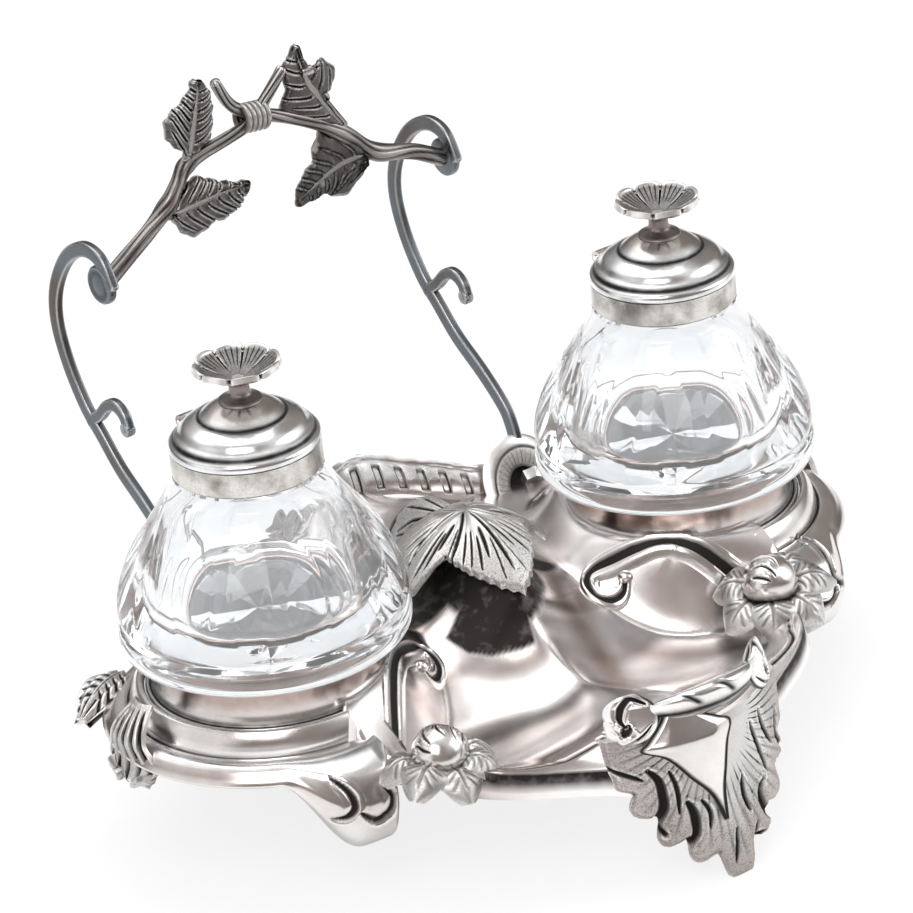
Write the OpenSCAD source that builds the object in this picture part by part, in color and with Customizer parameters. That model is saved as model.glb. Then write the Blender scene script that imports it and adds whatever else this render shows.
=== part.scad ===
/* [Wells] */
// Distance of each bottle's axis from the middle of the stand
well_x = 54.5; // [50:0.5:60]
// Distance of the bottles' line behind the middle of the stand's depth
well_y = 0; // [-2:0.5:4]
// Height of the seat that a bottle's flange rests on
seat_z = 46.6; // [44:0.2:50]
// Radius of the silver ring under a bottle
seat_r = 23.2; // [22.6:0.1:24.5]
// Width of the flat seat
seat_w = 2.8; // [2:0.1:3.5]
// Outer radius of the moulded apron outside a well
apron_r = 35.8; // [34.6:0.2:38]
// Height of the apron's lower edge
apron_z = 29.4; // [27.4:0.2:30.4]
// Reach of the knuckle at the apron's front end, beyond the apron's rim
knuckle_out = 7; // [5:0.5:9]
// Height of the left knuckle's lowest point
left_knuckle_z = 13.5; // [8:0.5:18]
// Height of the right knuckle's lowest point
right_knuckle_z = 16; // [8:0.5:18]

/* [Tray] */
// Thickness of the raised silver sheet
sheet_t = 1.2; // [0.9:0.1:1.8]
// Height of the crest between the two pen dishes
crest_z = 51; // [48:0.5:54]
// Height of the bottom of the pen dishes
dish_z = 21; // [18:0.5:23]
// Distance of the tray's front edge from the bottles' line
tray_front = 77; // [74:0.5:80]
// Distance of the tray's back edge from the bottles' line
tray_back = 48; // [46:0.5:52]
// Height of the fluted back rim in the middle
gallery_z = 50.5; // [48:0.5:56]
// Width of the fluted back rim
gallery_w = 76; // [70:0.5:80]
// Number of flutes along the back rim
gallery_flutes = 13; // [9:2:17]

/* [Feet and ornaments] */
// Reach of the vine leaf on the crest
leaf_r = 20; // [18:0.5:21]
// Half the width of the front foot
foot_w = 24; // [22:0.5:27]
// Distance of the front foot's tip from the bottles' line
foot_front = 84; // [82:0.5:88]
// Sideways distance of each back leg
leg_x = 51; // [49:0.5:54]
// Distance of each back leg behind the bottles' line
leg_y = 38; // [36:0.5:41]
// Thickness of the cast legs
leg_t = 2.4; // [1.8:0.1:3.2]
// Radius of a flower's round bud
bud_r = 5.6; // [4.8:0.1:6.4]
// Length of a flower's petals
petal_l = 13; // [11:0.5:15]
// Lean of the right flower towards the tray's front and middle
right_lean = 14; // [8:1:18]
// Lean of the left flower towards the tray's front and middle
left_lean = 4; // [0:1:8]

/* [Bottles] */
// Radius of a bottle's bottom flange
flange_r = 30.3; // [28.5:0.1:32]
// Height of the flange
flange_h = 5.2; // [4.4:0.2:6.4]
// Height of the glass from the seat to the top of its neck
glass_h = 43; // [40:0.5:46]
// Outer radius of the glass neck
neck_r = 14.2; // [13.4:0.1:14.8]
// Radius of the opening in the neck
mouth_r = 9.5; // [8:0.25:11]
// Radius of the ink space
ink_r = 17; // [14:0.5:19]
// Number of flutes cut round the bell
flutes = 14; // [10:1:18]
// Radius of the wheel that cuts the flutes
flute_r = 9; // [7:0.5:14]
// Depth of a flute
flute_d = 1.4; // [0.8:0.1:2]
// Lean of the flutes towards the neck
flute_tilt = 28; // [22:1:34]
// Height of the ink space's floor above the seat
ink_floor = 11; // [8:0.5:14]
// Depth of the glass plug that sits in the well ring
plug_h = 2.6; // [1.8:0.1:3.4]
// Gap between the glass plug and the well ring
plug_gap = 0.3; // [0.2:0.05:0.5]

/* [Collars and lids] */
// Wall of the silver collar round the neck
collar_t = 1.3; // [1:0.1:1.8]
// Height of the collar
collar_h = 5.4; // [4.4:0.2:6.4]
// Gap between the collar and the closed lid
lid_gap = 0.15; // [0.1:0.05:0.3]
// Wall of the lid
lid_t = 1; // [0.8:0.1:1.4]
// Height of the lid's dome
lid_h = 9.2; // [8:0.2:11]
// Radius of the flower cup on the lid
cup_r = 9; // [8:0.25:10.5]
// Height from the lid's top to the cup's rim
cup_h = 8.2; // [7:0.2:10]
// Number of petals pressed into the cup
cup_petals = 8; // [6:1:12]
// Radius of the hinge pin
pin_r = 0.6; // [0.5:0.05:0.8]
// Gap round the hinge pin
pin_gap = 0.05; // [0.03:0.01:0.08]
// Length of the hinge pin
pin_l = 9; // [8:0.5:12]

/* [Handle] */
// Sideways distance of each upright bar
bar_x = 45.5; // [44:0.5:48]
// Thickness of an upright bar
bar_t = 2; // [1.6:0.1:2.6]
// Width of an upright bar
bar_w = 3.4; // [2.8:0.1:4.2]
// Height at which the branch enters the scroll discs
branch_z = 102; // [97:0.5:107]
// Rise of the branch from the discs to its middle
branch_rise = 24; // [20:0.5:28]
// Radius of the branch
branch_r = 1.7; // [1.4:0.1:2.2]
// Thickness of a leaf on the branch
vine_t = 1.2; // [0.9:0.1:1.6]

/* [Hidden] */
$fn = 72;

silver = [0.84, 0.81, 0.79];
dark_silver = [0.45, 0.47, 0.48];
clear = [0.86, 0.9, 0.93, 0.45];

neck_z = seat_z + glass_h;
collar_r = neck_r + collar_t;
lid_z = neck_z + lid_gap;
lid_top = lid_z + lid_h;
hinge_y = collar_r + 1.8;
knuckle_r = 1.5;
stem_h = 5;
plug_r = seat_r - seat_w - plug_gap;
floor_z = seat_z - plug_h - 0.2;
foot_r = seat_r + 3;
foot_z = seat_z - 9.3;

// ---- curves and surfaces ----
function smooth(a, b, t) = let (k = min(1, max(0, (t - a) / (b - a)))) k * k * (3 - 2 * k);
function unit(v) = v / max(norm(v), 1e-6);
function flat(g) = [for (row = g) for (p = row) p];
function bend(a, b, c, d, t) =
  0.5 * (2 * b + (c - a) * t + (2 * a - 5 * b + 4 * c - d) * t * t + (3 * b - a - 3 * c + d) * t * t * t);
// A smooth curve through the points of p, with n steps between each two
function curve(p, n) = let (e = len(p) - 1) concat(
  [for (i = [0:e - 1]) for (k = [0:n - 1])
    bend(p[max(i - 1, 0)], p[i], p[i + 1], p[min(i + 2, e)], k / n)], [p[e]]);
// The direction square to grid g at row i and column j
function square_to(g, i, j, wrap) = let (n = len(g), m = len(g[0]),
  up = g[min(i + 1, n - 1)][j] - g[max(i - 1, 0)][j],
  right = g[i][wrap ? (j + 1) % m : min(j + 1, m - 1)] - g[i][wrap ? (j + m - 1) % m : max(j - 1, 0)])
  unit(cross(right, up));

// A sheet of thickness t whose outer face is the grid g; wrap joins its last column to its first
module sheet(g, t, wrap = false) {
  n = len(g);
  m = len(g[0]);
  all = n * m;
  under = [for (i = [0:n - 1]) [for (j = [0:m - 1]) g[i][j] - t * square_to(g, i, j, wrap)]];
  last = wrap ? m - 1 : m - 2;
  cells = [for (i = [0:n - 2]) for (j = [0:last])
    [i * m + j, (i + 1) * m + j, (i + 1) * m + (j + 1) % m, i * m + (j + 1) % m]];
  front = [for (j = [0:last]) [j, (j + 1) % m, all + (j + 1) % m, all + j]];
  back = [for (j = [0:last]) let (k = (n - 1) * m) [k + (j + 1) % m, k + j, all + k + j,
    all + k + (j + 1) % m]];
  left = wrap ? [] : [for (i = [0:n - 2]) [(i + 1) * m, i * m, all + i * m, all + (i + 1) * m]];
  right = wrap ? [] : [for (i = [0:n - 2]) let (k = m - 1)
    [i * m + k, (i + 1) * m + k, all + (i + 1) * m + k, all + i * m + k]];
  low = [for (c = cells) [all + c[3], all + c[2], all + c[1], all + c[0]]];
  polyhedron(concat(flat(g), flat(under)),
    [for (q = concat(cells, low, front, back, left, right)) each [[q[0], q[1], q[2]], [q[0], q[2], q[3]]]]);
}

// A solid along path p: a is its half-width across, b its half-depth, at each point of the path
module along(p, a, b, side, m = 8) {
  e = len(p) - 1;
  rings = [for (i = [0:e]) let (
    t = unit(p[min(i + 1, e)] - p[max(i - 1, 0)]), u = unit(cross(side, t)), v = cross(t, u))
    [for (j = [0:m - 1]) p[i] + b[i] * cos(360 * j / m) * u + a[i] * sin(360 * j / m) * v]];
  polyhedron(concat(flat(rings), [p[0], p[e]]), concat(
    [for (i = [0:e - 1]) for (j = [0:m - 1]) let (k = (j + 1) % m)
      each [[i * m + j, (i + 1) * m + j, (i + 1) * m + k], [i * m + j, (i + 1) * m + k, i * m + k]]],
    [for (j = [0:m - 1]) [(e + 1) * m, j, (j + 1) % m]],
    [for (j = [0:m - 1]) [(e + 1) * m + 1, e * m + (j + 1) % m, e * m + j]]));
}

// Everything is drawn with the bottles' line at y = 0 and set in its place by this
module placed() translate([0, well_y, 0]) children();
// The left half's pieces are the mirror of the right half's
module on_side(s) placed() mirror([s < 0 ? 1 : 0, 0, 0]) children();
// Feet are cut flat where they stand
module trimmed() intersection() { children(); translate([-150, -150, 0]) cube([300, 300, 200]); }
module at_well(s) placed() translate([s * well_x, 0, 0]) children();

// ---- tray ----
// Heights along the tray: its crest, the bottom of its dishes and its outer edge
function crest(y) = lookup(y, [[-tray_front, 34], [-62, 33.5], [-55, 32], [-50, 30.3], [-43, 27.8],
  [-36, dish_z + 5], [-31, dish_z + 5], [-26, dish_z + 6.6], [-21.5, 30.4], [-18.5, 33.5], [-16, 36.5],
  [-13.5, crest_z - 10], [-8.5, crest_z - 5.5], [-2.5, crest_z - 2.6], [5, crest_z - 1], [14, crest_z],
  [22, crest_z - 1.5], [32, crest_z - 5], [40, crest_z - 7], [tray_back, crest_z - 9]]);
function dish(y) = lookup(y, [[-tray_front, 21], [-70, 24], [-64, 27], [-59, 28], [-54, 27], [-47, 24.2],
  [-40, dish_z + 1], [-33, dish_z], [-26, dish_z + 0.6], [-20, dish_z + 3], [-12, 28], [-5, 30.5],
  [4, 31], [20, 31], [tray_back, 30]]);
function edge(y) = lookup(y, [[-tray_front, 22], [-70, 25], [-62, 28.5], [-54, 30], [-44, 31], [-34, 32],
  [-24, 34], [24, 32], [tray_back, 30]]);
function crest_w(y) = lookup(y, [[-tray_front, 14], [-60, 13], [-50, 11], [-40, 8], [-30, 8], [-20, 9],
  [0, 11], [24, 13], [tray_back, 15]]);
// The tray's surface: a crest along the middle, a dish on each side, and a rise to its edge and to each ring
function tray_z(x, y) = let (
  side = dish(y) + (edge(y) - dish(y)) * smooth(0.6, 1, abs(x) / half_w(y)),
  plain = side + (crest(y) - side) * exp(-pow(abs(x) / crest_w(y), 1.4)),
  near = smooth(0, 1, (foot_r + 9 - norm([abs(x) - well_x, y])) / 10))
  plain + max(0, foot_z + 2 - plain) * near;
// Half the tray's width: between the wells it ends at the wall of each ring
function half_w(y) = abs(y) < 22 ? well_x - sqrt(pow(foot_r - 3, 2) - y * y)
  : lookup(y, [[-tray_front, 14], [-73, 17], [-69, 21], [-66.5, 25], [-64, 30], [-61, 36], [-57.5, 41],
    [-54, 44.5], [-46, 49], [-38, 53], [-32, 53], [-26, 48], [-22, 43.6], [22, 43.6], [27, 47], [34, 50],
    [41, 49], [tray_back, 46]]);

// Columns of the tray's grid, closer where it bends: shares of half its width
tray_side = [0.07, 0.15, 0.24, 0.34, 0.46, 0.59, 0.72, 0.85, 0.95, 1];
tray_cols = concat([for (i = [9:-1:0]) -tray_side[i]], [0], tray_side);
tray_rows = 32;
module tray_shell() color(silver) placed()
  sheet([for (i = [0:tray_rows]) let (y = -tray_front + (tray_front + tray_back) * i / tray_rows)
    [for (u = tray_cols) let (x = u * half_w(y))
      [x, y, tray_z(x, y) - (abs(y) < 23 ? 0 : abs(u) == 1 ? 5.6 : 1.6 * pow(abs(u), 12))]]], sheet_t);

// The fluted rim along the tray's back: it rises in a hump in the middle and is waved along its top
rim_steps = 52;
module back_gallery() color(silver) placed()
  sheet([for (i = [0:3]) [for (j = [0:rim_steps]) let (side = 1 - 2 * j / rim_steps, x = side * gallery_w / 2,
    k = i / 3, hump = pow(cos(90 * side), 2), wave = cos(180 * gallery_flutes * side),
    low = crest_z - 22 + 12 * hump, end = crest_z - 15, top = end + (gallery_z - end) * hump + 0.7 * wave)
    [x, tray_back - 6 + 3.6 * k * k + 1.1 * k * wave, low + (top - low) * k]]], sheet_t);

// ---- wells ----
// Outline of the ring that carries a bottle, down to its foot on the tray
function ring_profile() = [[seat_r - seat_w, floor_z], [seat_r - seat_w, seat_z], [seat_r, seat_z],
  [seat_r + 0.5, seat_z - 0.7], [seat_r + 0.6, seat_z - 4.6], [seat_r + 1, seat_z - 7.4], [seat_r + 1.8,
  foot_z],
  [seat_r + 2.4, foot_z + 0.2], [foot_r, foot_z - 0.5], [foot_r, foot_z - 1.6], [seat_r + 1.6, foot_z - 1.6],
  [seat_r - 0.2, foot_z - 0.3], [seat_r - 0.5, floor_z - sheet_t], [0, floor_z - sheet_t], [0, floor_z]];
module well_ring(s) color(silver) at_well(s) rotate_extrude() polygon(ring_profile());

// Outline of the apron outside a well: a round band, a groove and a sloping rail. Its points are
// [share of the way from the ring's foot to the apron's rim, height]
groove_z = apron_z + 3.4;
apron_points = [[0.06, foot_z + 0.9], [0.19, foot_z + 0.6], [0.29, foot_z - 0.9], [0.35, foot_z - 2.6],
  [0.396, groove_z], [0.47, groove_z + 0.5], [0.667, groove_z + 0.3], [0.854, groove_z - 0.9],
  [0.958, apron_z + 1.5], [1, apron_z + 0.5], [0.98, apron_z], [0.896, apron_z - 0.2], [0.73, groove_z - 1.8],
  [0.458, groove_z - 1.4], [0.27, groove_z - 0.6], [0.167, foot_z - 2.8], [0.04, foot_z - 1.2]];
function apron_profile() = concat([[seat_r + 1.6, foot_z - 1.2], [seat_r + 2.2, foot_z + 0.4]],
  [for (q = apron_points) [foot_r + q[0] * (apron_r - foot_r), q[1]]]);
apron_from = -50;
apron_turn = 170;
module apron() color(silver) translate([well_x, 0, 0]) rotate([0, 0, apron_from])
  rotate_extrude(angle = apron_turn) polygon(apron_profile());

// ---- feet ----
// The front foot's bulged face, at height z
function foot_y(x, z) = -lookup(z, [[0, foot_front], [6, foot_front - 1.6], [14, foot_front - 3],
  [24, foot_front - 4.6], [32, foot_front - 6], [40, foot_front - 9]]) + x * x * 0.017;
// Reach of the foot's lobes from the fan's centre, by the angle from straight down
fan_z = 34;
function fan_reach(a) = fan_z * lookup(abs(a), [[0, 1], [5, 0.99], [9, 0.84], [17, 0.885], [21, 0.87],
  [25, 0.76],
  [31, 0.83], [36, 0.82], [41, 0.7], [48, 0.755], [53, 0.75], [58, 0.67], [64, 0.72], [70, 0.7], [90, 0.68]])
  * (1 + (foot_w / 24 - 1) * abs(sin(a)));
module front_foot() color(silver) trimmed() placed()
  sheet([for (i = [0:6]) [for (j = [0:48]) let (a = 90 - 3.75 * j, k = 0.04 + 0.96 * i / 6,
    r = k * fan_reach(a), x = r * sin(a), z = fan_z - r * cos(a))
    [x, foot_y(x, z) - 0.9 * k * cos(a * 22) * smooth(0.35, 0.8, k), z]]], leg_t);

// A plain pointed shield on the foot, under the scroll band: its left and right edges by height
shield_left = [[13.1, -2.9], [19.5, -5.2], [23.9, -8.8], [29.2, -13], [31.4, -17.4], [33, -16], [36, -13],
  [39.5, -10.4]];
shield_right = [[13.1, -1.9], [19.5, -1.4], [23.9, -0.2], [29.2, 1.4], [33, 3.2], [34.5, 0.8], [36, -2],
  [39.5, -8.8]];
module front_shield() color(silver) placed()
  sheet([for (i = [0:11]) let (z = 39.5 - 2.4 * i, a = lookup(z, shield_left), b = lookup(z, shield_right))
    [for (j = [0:6]) let (x = foot_w / 24 * (b + (a - b) * j / 6)) [x, foot_y(x, z) - 1.1, z]]], 1.4);

// A raised band over the shield, between the two comma scrolls
module front_scroll_band() color(silver) placed() let (half = foot_w - 12,
    p = curve([[-half, -71.5, 37.5], [-0.64 * half, -75.5, 39.5], [0, -77.4, 40.2],
      [0.64 * half, -75.5, 39.5], [half, -71.5, 37.5]], 4))
  along(p, [for (i = [0:16]) 1.2 + 2.4 * sin(180 * i / 16)], [for (i = [0:16]) 1 + 1.6 * sin(180 * i / 16)],
    [0, -0.6, 0.8]);

// A flat spiral in the plane of u and v, from radius r0 down to r1, turning from angle a0 to a1
function spiral(c, u, v, r0, r1, a0, a1, n) = [for (i = [0:n]) let (k = i / n, a = a0 + (a1 - a0) * k,
  r = r0 + (r1 - r0) * pow(k, 0.8)) c + r * cos(a) * u + r * sin(a) * v];

// A scroll that rises from the tray's corner and curls in over the foot's shoulder
module comma_scroll() color(silver) let (p = concat([[foot_w + 1, -64, 28], [foot_w - 0.4, -69, 29]],
    spiral([foot_w - 8.5, -74.5, 38], [1, 0.28, 0], [0, 0.15, 1], 4.2, 1.4, -35, 250, 18)), n = len(p))
  along(p, [for (i = [0:n - 1]) 2.3 - i / n], [for (i = [0:n - 1]) 2.1 - i / n], [0.2, -1, 0.1]);

// The apron's front end: its mouldings run on and swell into a rounded knuckle that hangs below the rim.
// Each point is [share, height] on the apron, then [distance beyond the rim, height] on the knuckle
knuckle_at = -84;
function knuckle_points(low) = [[0.08, foot_z + 0.7, -8.8, foot_z + 0.7], [0.29, foot_z - 1.1, -6.8,
  foot_z - 1.1],
  [0.396, groove_z - 0.2, -5.6, groove_z - 0.2], [0.47, groove_z + 0.3, -4.8, groove_z + 0.4],
  [0.667, groove_z + 0.1, -1, groove_z + 0.2], [0.78, groove_z - 0.7, 0.55 * knuckle_out, groove_z - 2.2],
  [0.854, groove_z - 1.1, 0.88 * knuckle_out, groove_z - 6.5], [0.93, apron_z + 1.6, knuckle_out,
  (groove_z + low) / 2],
  [0.97, apron_z + 0.8, 0.9 * knuckle_out, low + 4], [0.98, apron_z + 0.4, 0.6 * knuckle_out, low + 1.2],
  [0.96, apron_z + 0.1, 0.2 * knuckle_out, low]];
// How far the apron has turned into the knuckle at angle a: slowly from the apron's side, fast at its end
function swell(a) = a > knuckle_at ? 1 - smooth(5, 28, a - knuckle_at) : 1 - smooth(4, 13, knuckle_at - a);
module front_volute(low) color(silver) translate([well_x, 0, 0])
  sheet([for (i = [0:14]) let (a = apron_from + 2 - 46 * (1 - pow(1 - i / 14, 1.25)), w = swell(a))
    [for (q = knuckle_points(low)) let (r = foot_r + (apron_r - foot_r) * q[0],
      p = [r + (apron_r + q[2] - r) * w, q[1] + (q[3] - q[1]) * w])
      [p[0] * cos(a), p[0] * sin(a), p[1]]]], 1.6);

// A cast leg: a hanging leaf, wide and lobed above, that tapers and curls out at its tip
module back_leg() color(silver) trimmed() let (out = unit([0.75, 0.66, 0]), across = unit([-0.66, 0.75, 0]))
  sheet([for (i = [0:12]) let (k = i / 12,
    w = lookup(k, [[0, 7], [0.15, 8.4], [0.27, 6.6], [0.4, 8], [0.52, 5.6], [0.66, 6.6], [0.76, 4.6],
      [0.88, 4.8], [1, 3]]),
    bow = lookup(k, [[0, -3], [0.2, 1.2], [0.45, 2], [0.75, 0.4], [1, 2.4]]))
    [for (j = [-3:3]) let (q = j / 3)
      [leg_x, leg_y, 34 - 34.6 * k] + across * w * q + out * (bow - 2.4 * q * q + 0.5 * cos(q * 540))]],
      leg_t);

// ---- flowers and scrolls ----
// The right flower lies further back than the left one, and higher; both are on the right half's side
left_bud = [45.5, -45, 31.5];
right_bud = [46, -40, 33.2];
petal_turn = 48;
// Six petals pressed out of one sheet: an open ring round the bud, with a fold between each two
module flower_petals(at, lean) color(silver) translate(at) rotate([lean, -lean, 0])
  sheet([for (i = [0:4]) [for (j = [0:36]) let (a = 1.333 * petal_turn - 8 * j, k = i / 4,
    lobe = pow(abs(cos((a + 200) * 180 / petal_turn)), 0.7),
      r = 2.6 + (petal_l - 2.6) * k * (0.68 + 0.32 * lobe))
    [r * cos(a), r * sin(a), -3.4 + 2.8 * sin(140 * k) - 1.6 * k * (1 - lobe)]]], 1);
module flower_bud(at) color(silver) translate(at) difference() {
  sphere(r = bud_r);
  for (a = [20, 80, 140]) rotate([0, 0, a]) rotate([90, 0, 0]) rotate_extrude()
    translate([bud_r + 0.25, 0]) circle(r = 0.55, $fn = 16);
}

// A scroll laid on the tray: it starts at the flower, passes the ring and curls beside the crest.
// Its points are [angle round the well's axis, distance from the ring's foot]
scroll_path = [[74.4, 5.4], [68.8, 3.4], [61.4, 1.6], [51.3, 0.2], [41.5, 0.1], [32.6, 1.2], [23.8, 3],
  [15.7, 5.5], [14.2, 7.3], [16.3, 8.7], [20.2, 9.2], [24.6, 8.4], [28.4, 6.6], [28.3, 4.6]];
module c_scroll() color(silver) let (p = [for (q = curve(scroll_path, 2)) let (r = foot_r + q[1],
    x = well_x - r * cos(q[0]), y = -r * sin(q[0])) [x, y, tray_z(x, y) + 0.3]], n = len(p))
  along(p, [for (i = [0:n - 1]) 1.9 - 0.7 * i / n], [for (i = [0:n - 1]) 2 - 0.6 * i / n], [0, 0, 1]);

// A pointed leaf that lies on the apron's rail towards the back
module end_leaf() color(silver) let (out = unit([0.92, -0.3, 0]), across = unit([0.3, 0.92, 0]))
  sheet([for (i = [0:7]) let (k = i / 7, w = lookup(k, [[0, 4], [0.3, 5.6], [0.55, 5], [0.75, 3.8], [1,
    1.2]]))
    [for (j = [-3:3]) let (q = j / 3)
      [well_x + 18.5, 28, groove_z + 0.4] + out * (15 * k) + across * w * q
        + [0, 0, 2.6 * sin(100 * k) - 6 * k * k - 1.6 * q * q + 0.4 * cos(q * 720)]]], sheet_t);

// An acanthus leaf that hangs over the apron's rail at each end of the stand and turns out at its tip
module side_leaf() color(silver)
  sheet([for (i = [0:8]) let (k = i / 8,
    w = lookup(k, [[0, 3], [0.25, 4.6], [0.5, 6.2], [0.75, 8], [0.9, 7.4], [1, 4]]),
    bow = lookup(k, [[0, -5], [0.2, -1.6], [0.45, 0.6], [0.75, 0.4], [1, 2.6]]))
    [for (j = [-4:4]) let (q = j / 4) [well_x + apron_r + bow - 1.2 * q * q, 3 - 2 * k - w * q,
      foot_z + 3.2 - 16.5 * k + 1.2 * k * cos(q * 540)]]], sheet_t);

// A fan-shaped shell that stands on the tray's back corner and carries the foot of an upright
module rocaille() color(silver)
  sheet([for (i = [0:4]) [for (j = [0:16]) let (k = i / 4, a = 180 - 11.25 * j,
    r = 2 + (9 + cos(a * 8)) * k, up = r * sin(a))
    [bar_x - 2.5 + r * cos(a), tray_back - 9 + 6.8 * sin(7 * up) + 0.6 * k * cos(a * 8),
    28.4 + 1.05 * up]]], sheet_t);

// The vine leaf laid over the crest: five lobes that droop over its front and sides
function vine_reach(a) = lookup(abs(a), [[0, 0.98], [15, 0.87], [24, 0.8], [38, 0.74], [50, 0.67], [62, 0.61],
  [70, 0.73], [81, 0.96], [90, 0.86], [106, 0.78], [121, 0.79], [135, 0.86], [150, 0.97], [160, 1],
  [170, 0.97], [180, 0.72]]);
module centre_leaf() color(silver) placed()
  sheet([for (i = [0:5]) [for (j = [0:39]) let (a = -9 * j, b = abs(a) > 180 ? 360 + a : a,
    k = 0.05 + 0.95 * i / 5,
    r = leaf_r * k * vine_reach(b), x = r * sin(b), y = 3 - r * cos(b))
    [x, y, max(tray_z(x, y) + 1.3, crest_z + 1.6 - 0.034 * r * r) + 0.4 * k * cos(b * 9)]]], 1.4, true);

// ---- handle ----
function bar_line() = curve([[45.8, 37.5], [47, 41.6], [49.4, 45.6], [56, 51.4], [64.6, 57.6], [71, 64],
  [76.3, 69.4],
  [81.3, 78.3], [83.6, 87.5], [81.8, 96], [75.8, 104.4], [68.5, 108.5], [62.4, 107.5], [disc_y - 4,
  branch_z]], 5);
// A bar's outline: half the width w to each side of the line p
function band(p, w) = let (e = len(p) - 1,
  s = [for (i = [0:e]) let (t = unit(p[min(i + 1, e)] - p[max(i - 1, 0)])) [-t[1], t[0]] * w / 2])
  concat([for (i = [0:e]) p[i] + s[i]], [for (i = [e:-1:0]) p[i] - s[i]]);
function rest_line() = curve([[75, 66], [70.4, 69], [67, 72.2], [63.6, 73.4], [60.6, 71.8], [59.6, 68.6]], 5);
disc_y = 63;
module plate(h) rotate([90, 0, 90]) linear_extrude(h) children();
module upright() color(dark_silver) translate([bar_x - bar_t / 2, 0, 0]) union() {
  plate(bar_t) polygon(band(bar_line(), bar_w));
  plate(bar_t) polygon(band(rest_line(), bar_w * 0.8));
  plate(bar_t) translate([disc_y, branch_z]) circle(r = 4.4);
  plate(bar_t) translate([60, 69]) circle(r = bar_w * 0.5);
}

branch_end = bar_x - bar_t / 2;
module on_branch() color(dark_silver) placed() translate([0, disc_y, branch_z]) children();
// The two stems of the handle: each rises from a disc, passes the tie and ends in a cut twig.
// Their points are [share of the way to the disc, share of the rise, distance behind the discs]
left_stem = [[-1, 0, 0], [-0.86, 0.16, 0.3], [-0.72, 0.32, 0.6], [-0.61, 0.48, 0.6], [-0.54, 0.66, 0.4],
  [-0.48, 0.8, 0.2], [-0.38, 0.87, 0], [-0.23, 0.93, -0.2], [-0.1, 1, -0.3], [0.01, 1.18, -0.3],
  [0.11, 1.38, -0.2]];
right_stem = [[1, 0, 0], [0.82, 0.17, 0], [0.61, 0.29, 0.2], [0.48, 0.5, 0.3], [0.32, 0.72, 0.4],
  [0.14, 0.9, 0.5], [-0.02, 1.02, 0.6], [-0.13, 1.12, 0.7], [-0.2, 1.24, 0.7], [-0.26, 1.46, 0.6]];
module stem(points) let (p = curve([for (q = points) [q[0] * branch_end, q[2], q[1] * branch_rise]], 3),
    e = len(p) - 1, r = [for (i = [0:e]) branch_r * (1.12 - 0.4 * i / e)])
  along(p, r, r, [0, 1, 0]);
module handle_branch() on_branch() { stem(left_stem); }
module handle_twigs() on_branch() { stem(right_stem); }
// The wire tie: turns of wire round both stems
module handle_tie() color(silver) placed() translate([-0.08 * branch_end, disc_y,
  branch_z + 1.04 * branch_rise])
  rotate([0, 6, 0]) rotate([0, 90, 0]) difference() {
    for (i = [-2:2]) translate([0, 0, i * 1.5]) rotate_extrude()
      translate([2 * branch_r, 0]) circle(r = 1, $fn = 20);
    cylinder(r = 1.8 * branch_r, h = 12, center = true);
  }
// A vine leaf in the handle's plane: a toothed blade with a raised rib
module vine_leaf(outline, rib) on_branch() rotate([90, 0, 0]) union() {
  translate([0, 0,
    -vine_t / 2]) linear_extrude(vine_t) polygon(curve([for (q = outline) q * branch_rise / 24], 2));
  translate([0, 0, -vine_t]) linear_extrude(2 * vine_t)
    polygon(band(curve([for (q = rib) q * branch_rise / 24], 4), 1.3));
}

// ---- bottles ----
// The bell's outline between the flange and the neck: height as a share of the bell's, and swell
bell_curve = [[0, 0.945], [0.04, 0.963], [0.09, 0.98], [0.18, 0.963], [0.255, 0.92], [0.335, 0.865],
  [0.415, 0.79],
  [0.5, 0.693], [0.58, 0.589], [0.665, 0.454], [0.75, 0.331], [0.83, 0.227], [0.91, 0.141], [0.985, 0.08]];
bell_z = seat_z + flange_h;
bell_h = neck_z - collar_h - bell_z;
function bell_profile() = concat([[0, seat_z - plug_h], [plug_r, seat_z - plug_h], [plug_r, seat_z],
  [flange_r - 2.2, seat_z], [flange_r - 0.3, seat_z + 1], [flange_r, seat_z + 2.8],
    [flange_r - 0.2, bell_z - 0.6]],
  [for (q = bell_curve) [neck_r + (flange_r - neck_r) * q[1], bell_z + bell_h * q[0]]],
  [[neck_r, neck_z - collar_h], [neck_r, neck_z], [mouth_r, neck_z], [mouth_r, neck_z - 7.6],
  [ink_r - 5.5, neck_z - 11.5], [ink_r - 2.5, neck_z - 16.5], [ink_r - 0.2, neck_z - 22.5], [ink_r,
  seat_z + ink_floor + 5],
  [ink_r - 1, seat_z + ink_floor + 2], [ink_r - 5, seat_z + ink_floor + 0.3], [0, seat_z + ink_floor]]);
module glass(s) color(clear) at_well(s) difference() {
  rotate_extrude() polygon(bell_profile());
  for (i = [0:flutes - 1]) rotate([0, 0, 360 * i / flutes])
    translate([neck_r + (flange_r - neck_r) * 0.75, 0, bell_z + bell_h * 0.45]) rotate([0, -flute_tilt, 0])
      translate([flute_r - flute_d, 0, 0]) cylinder(r = flute_r, h = 30, center = true);
}

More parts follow.
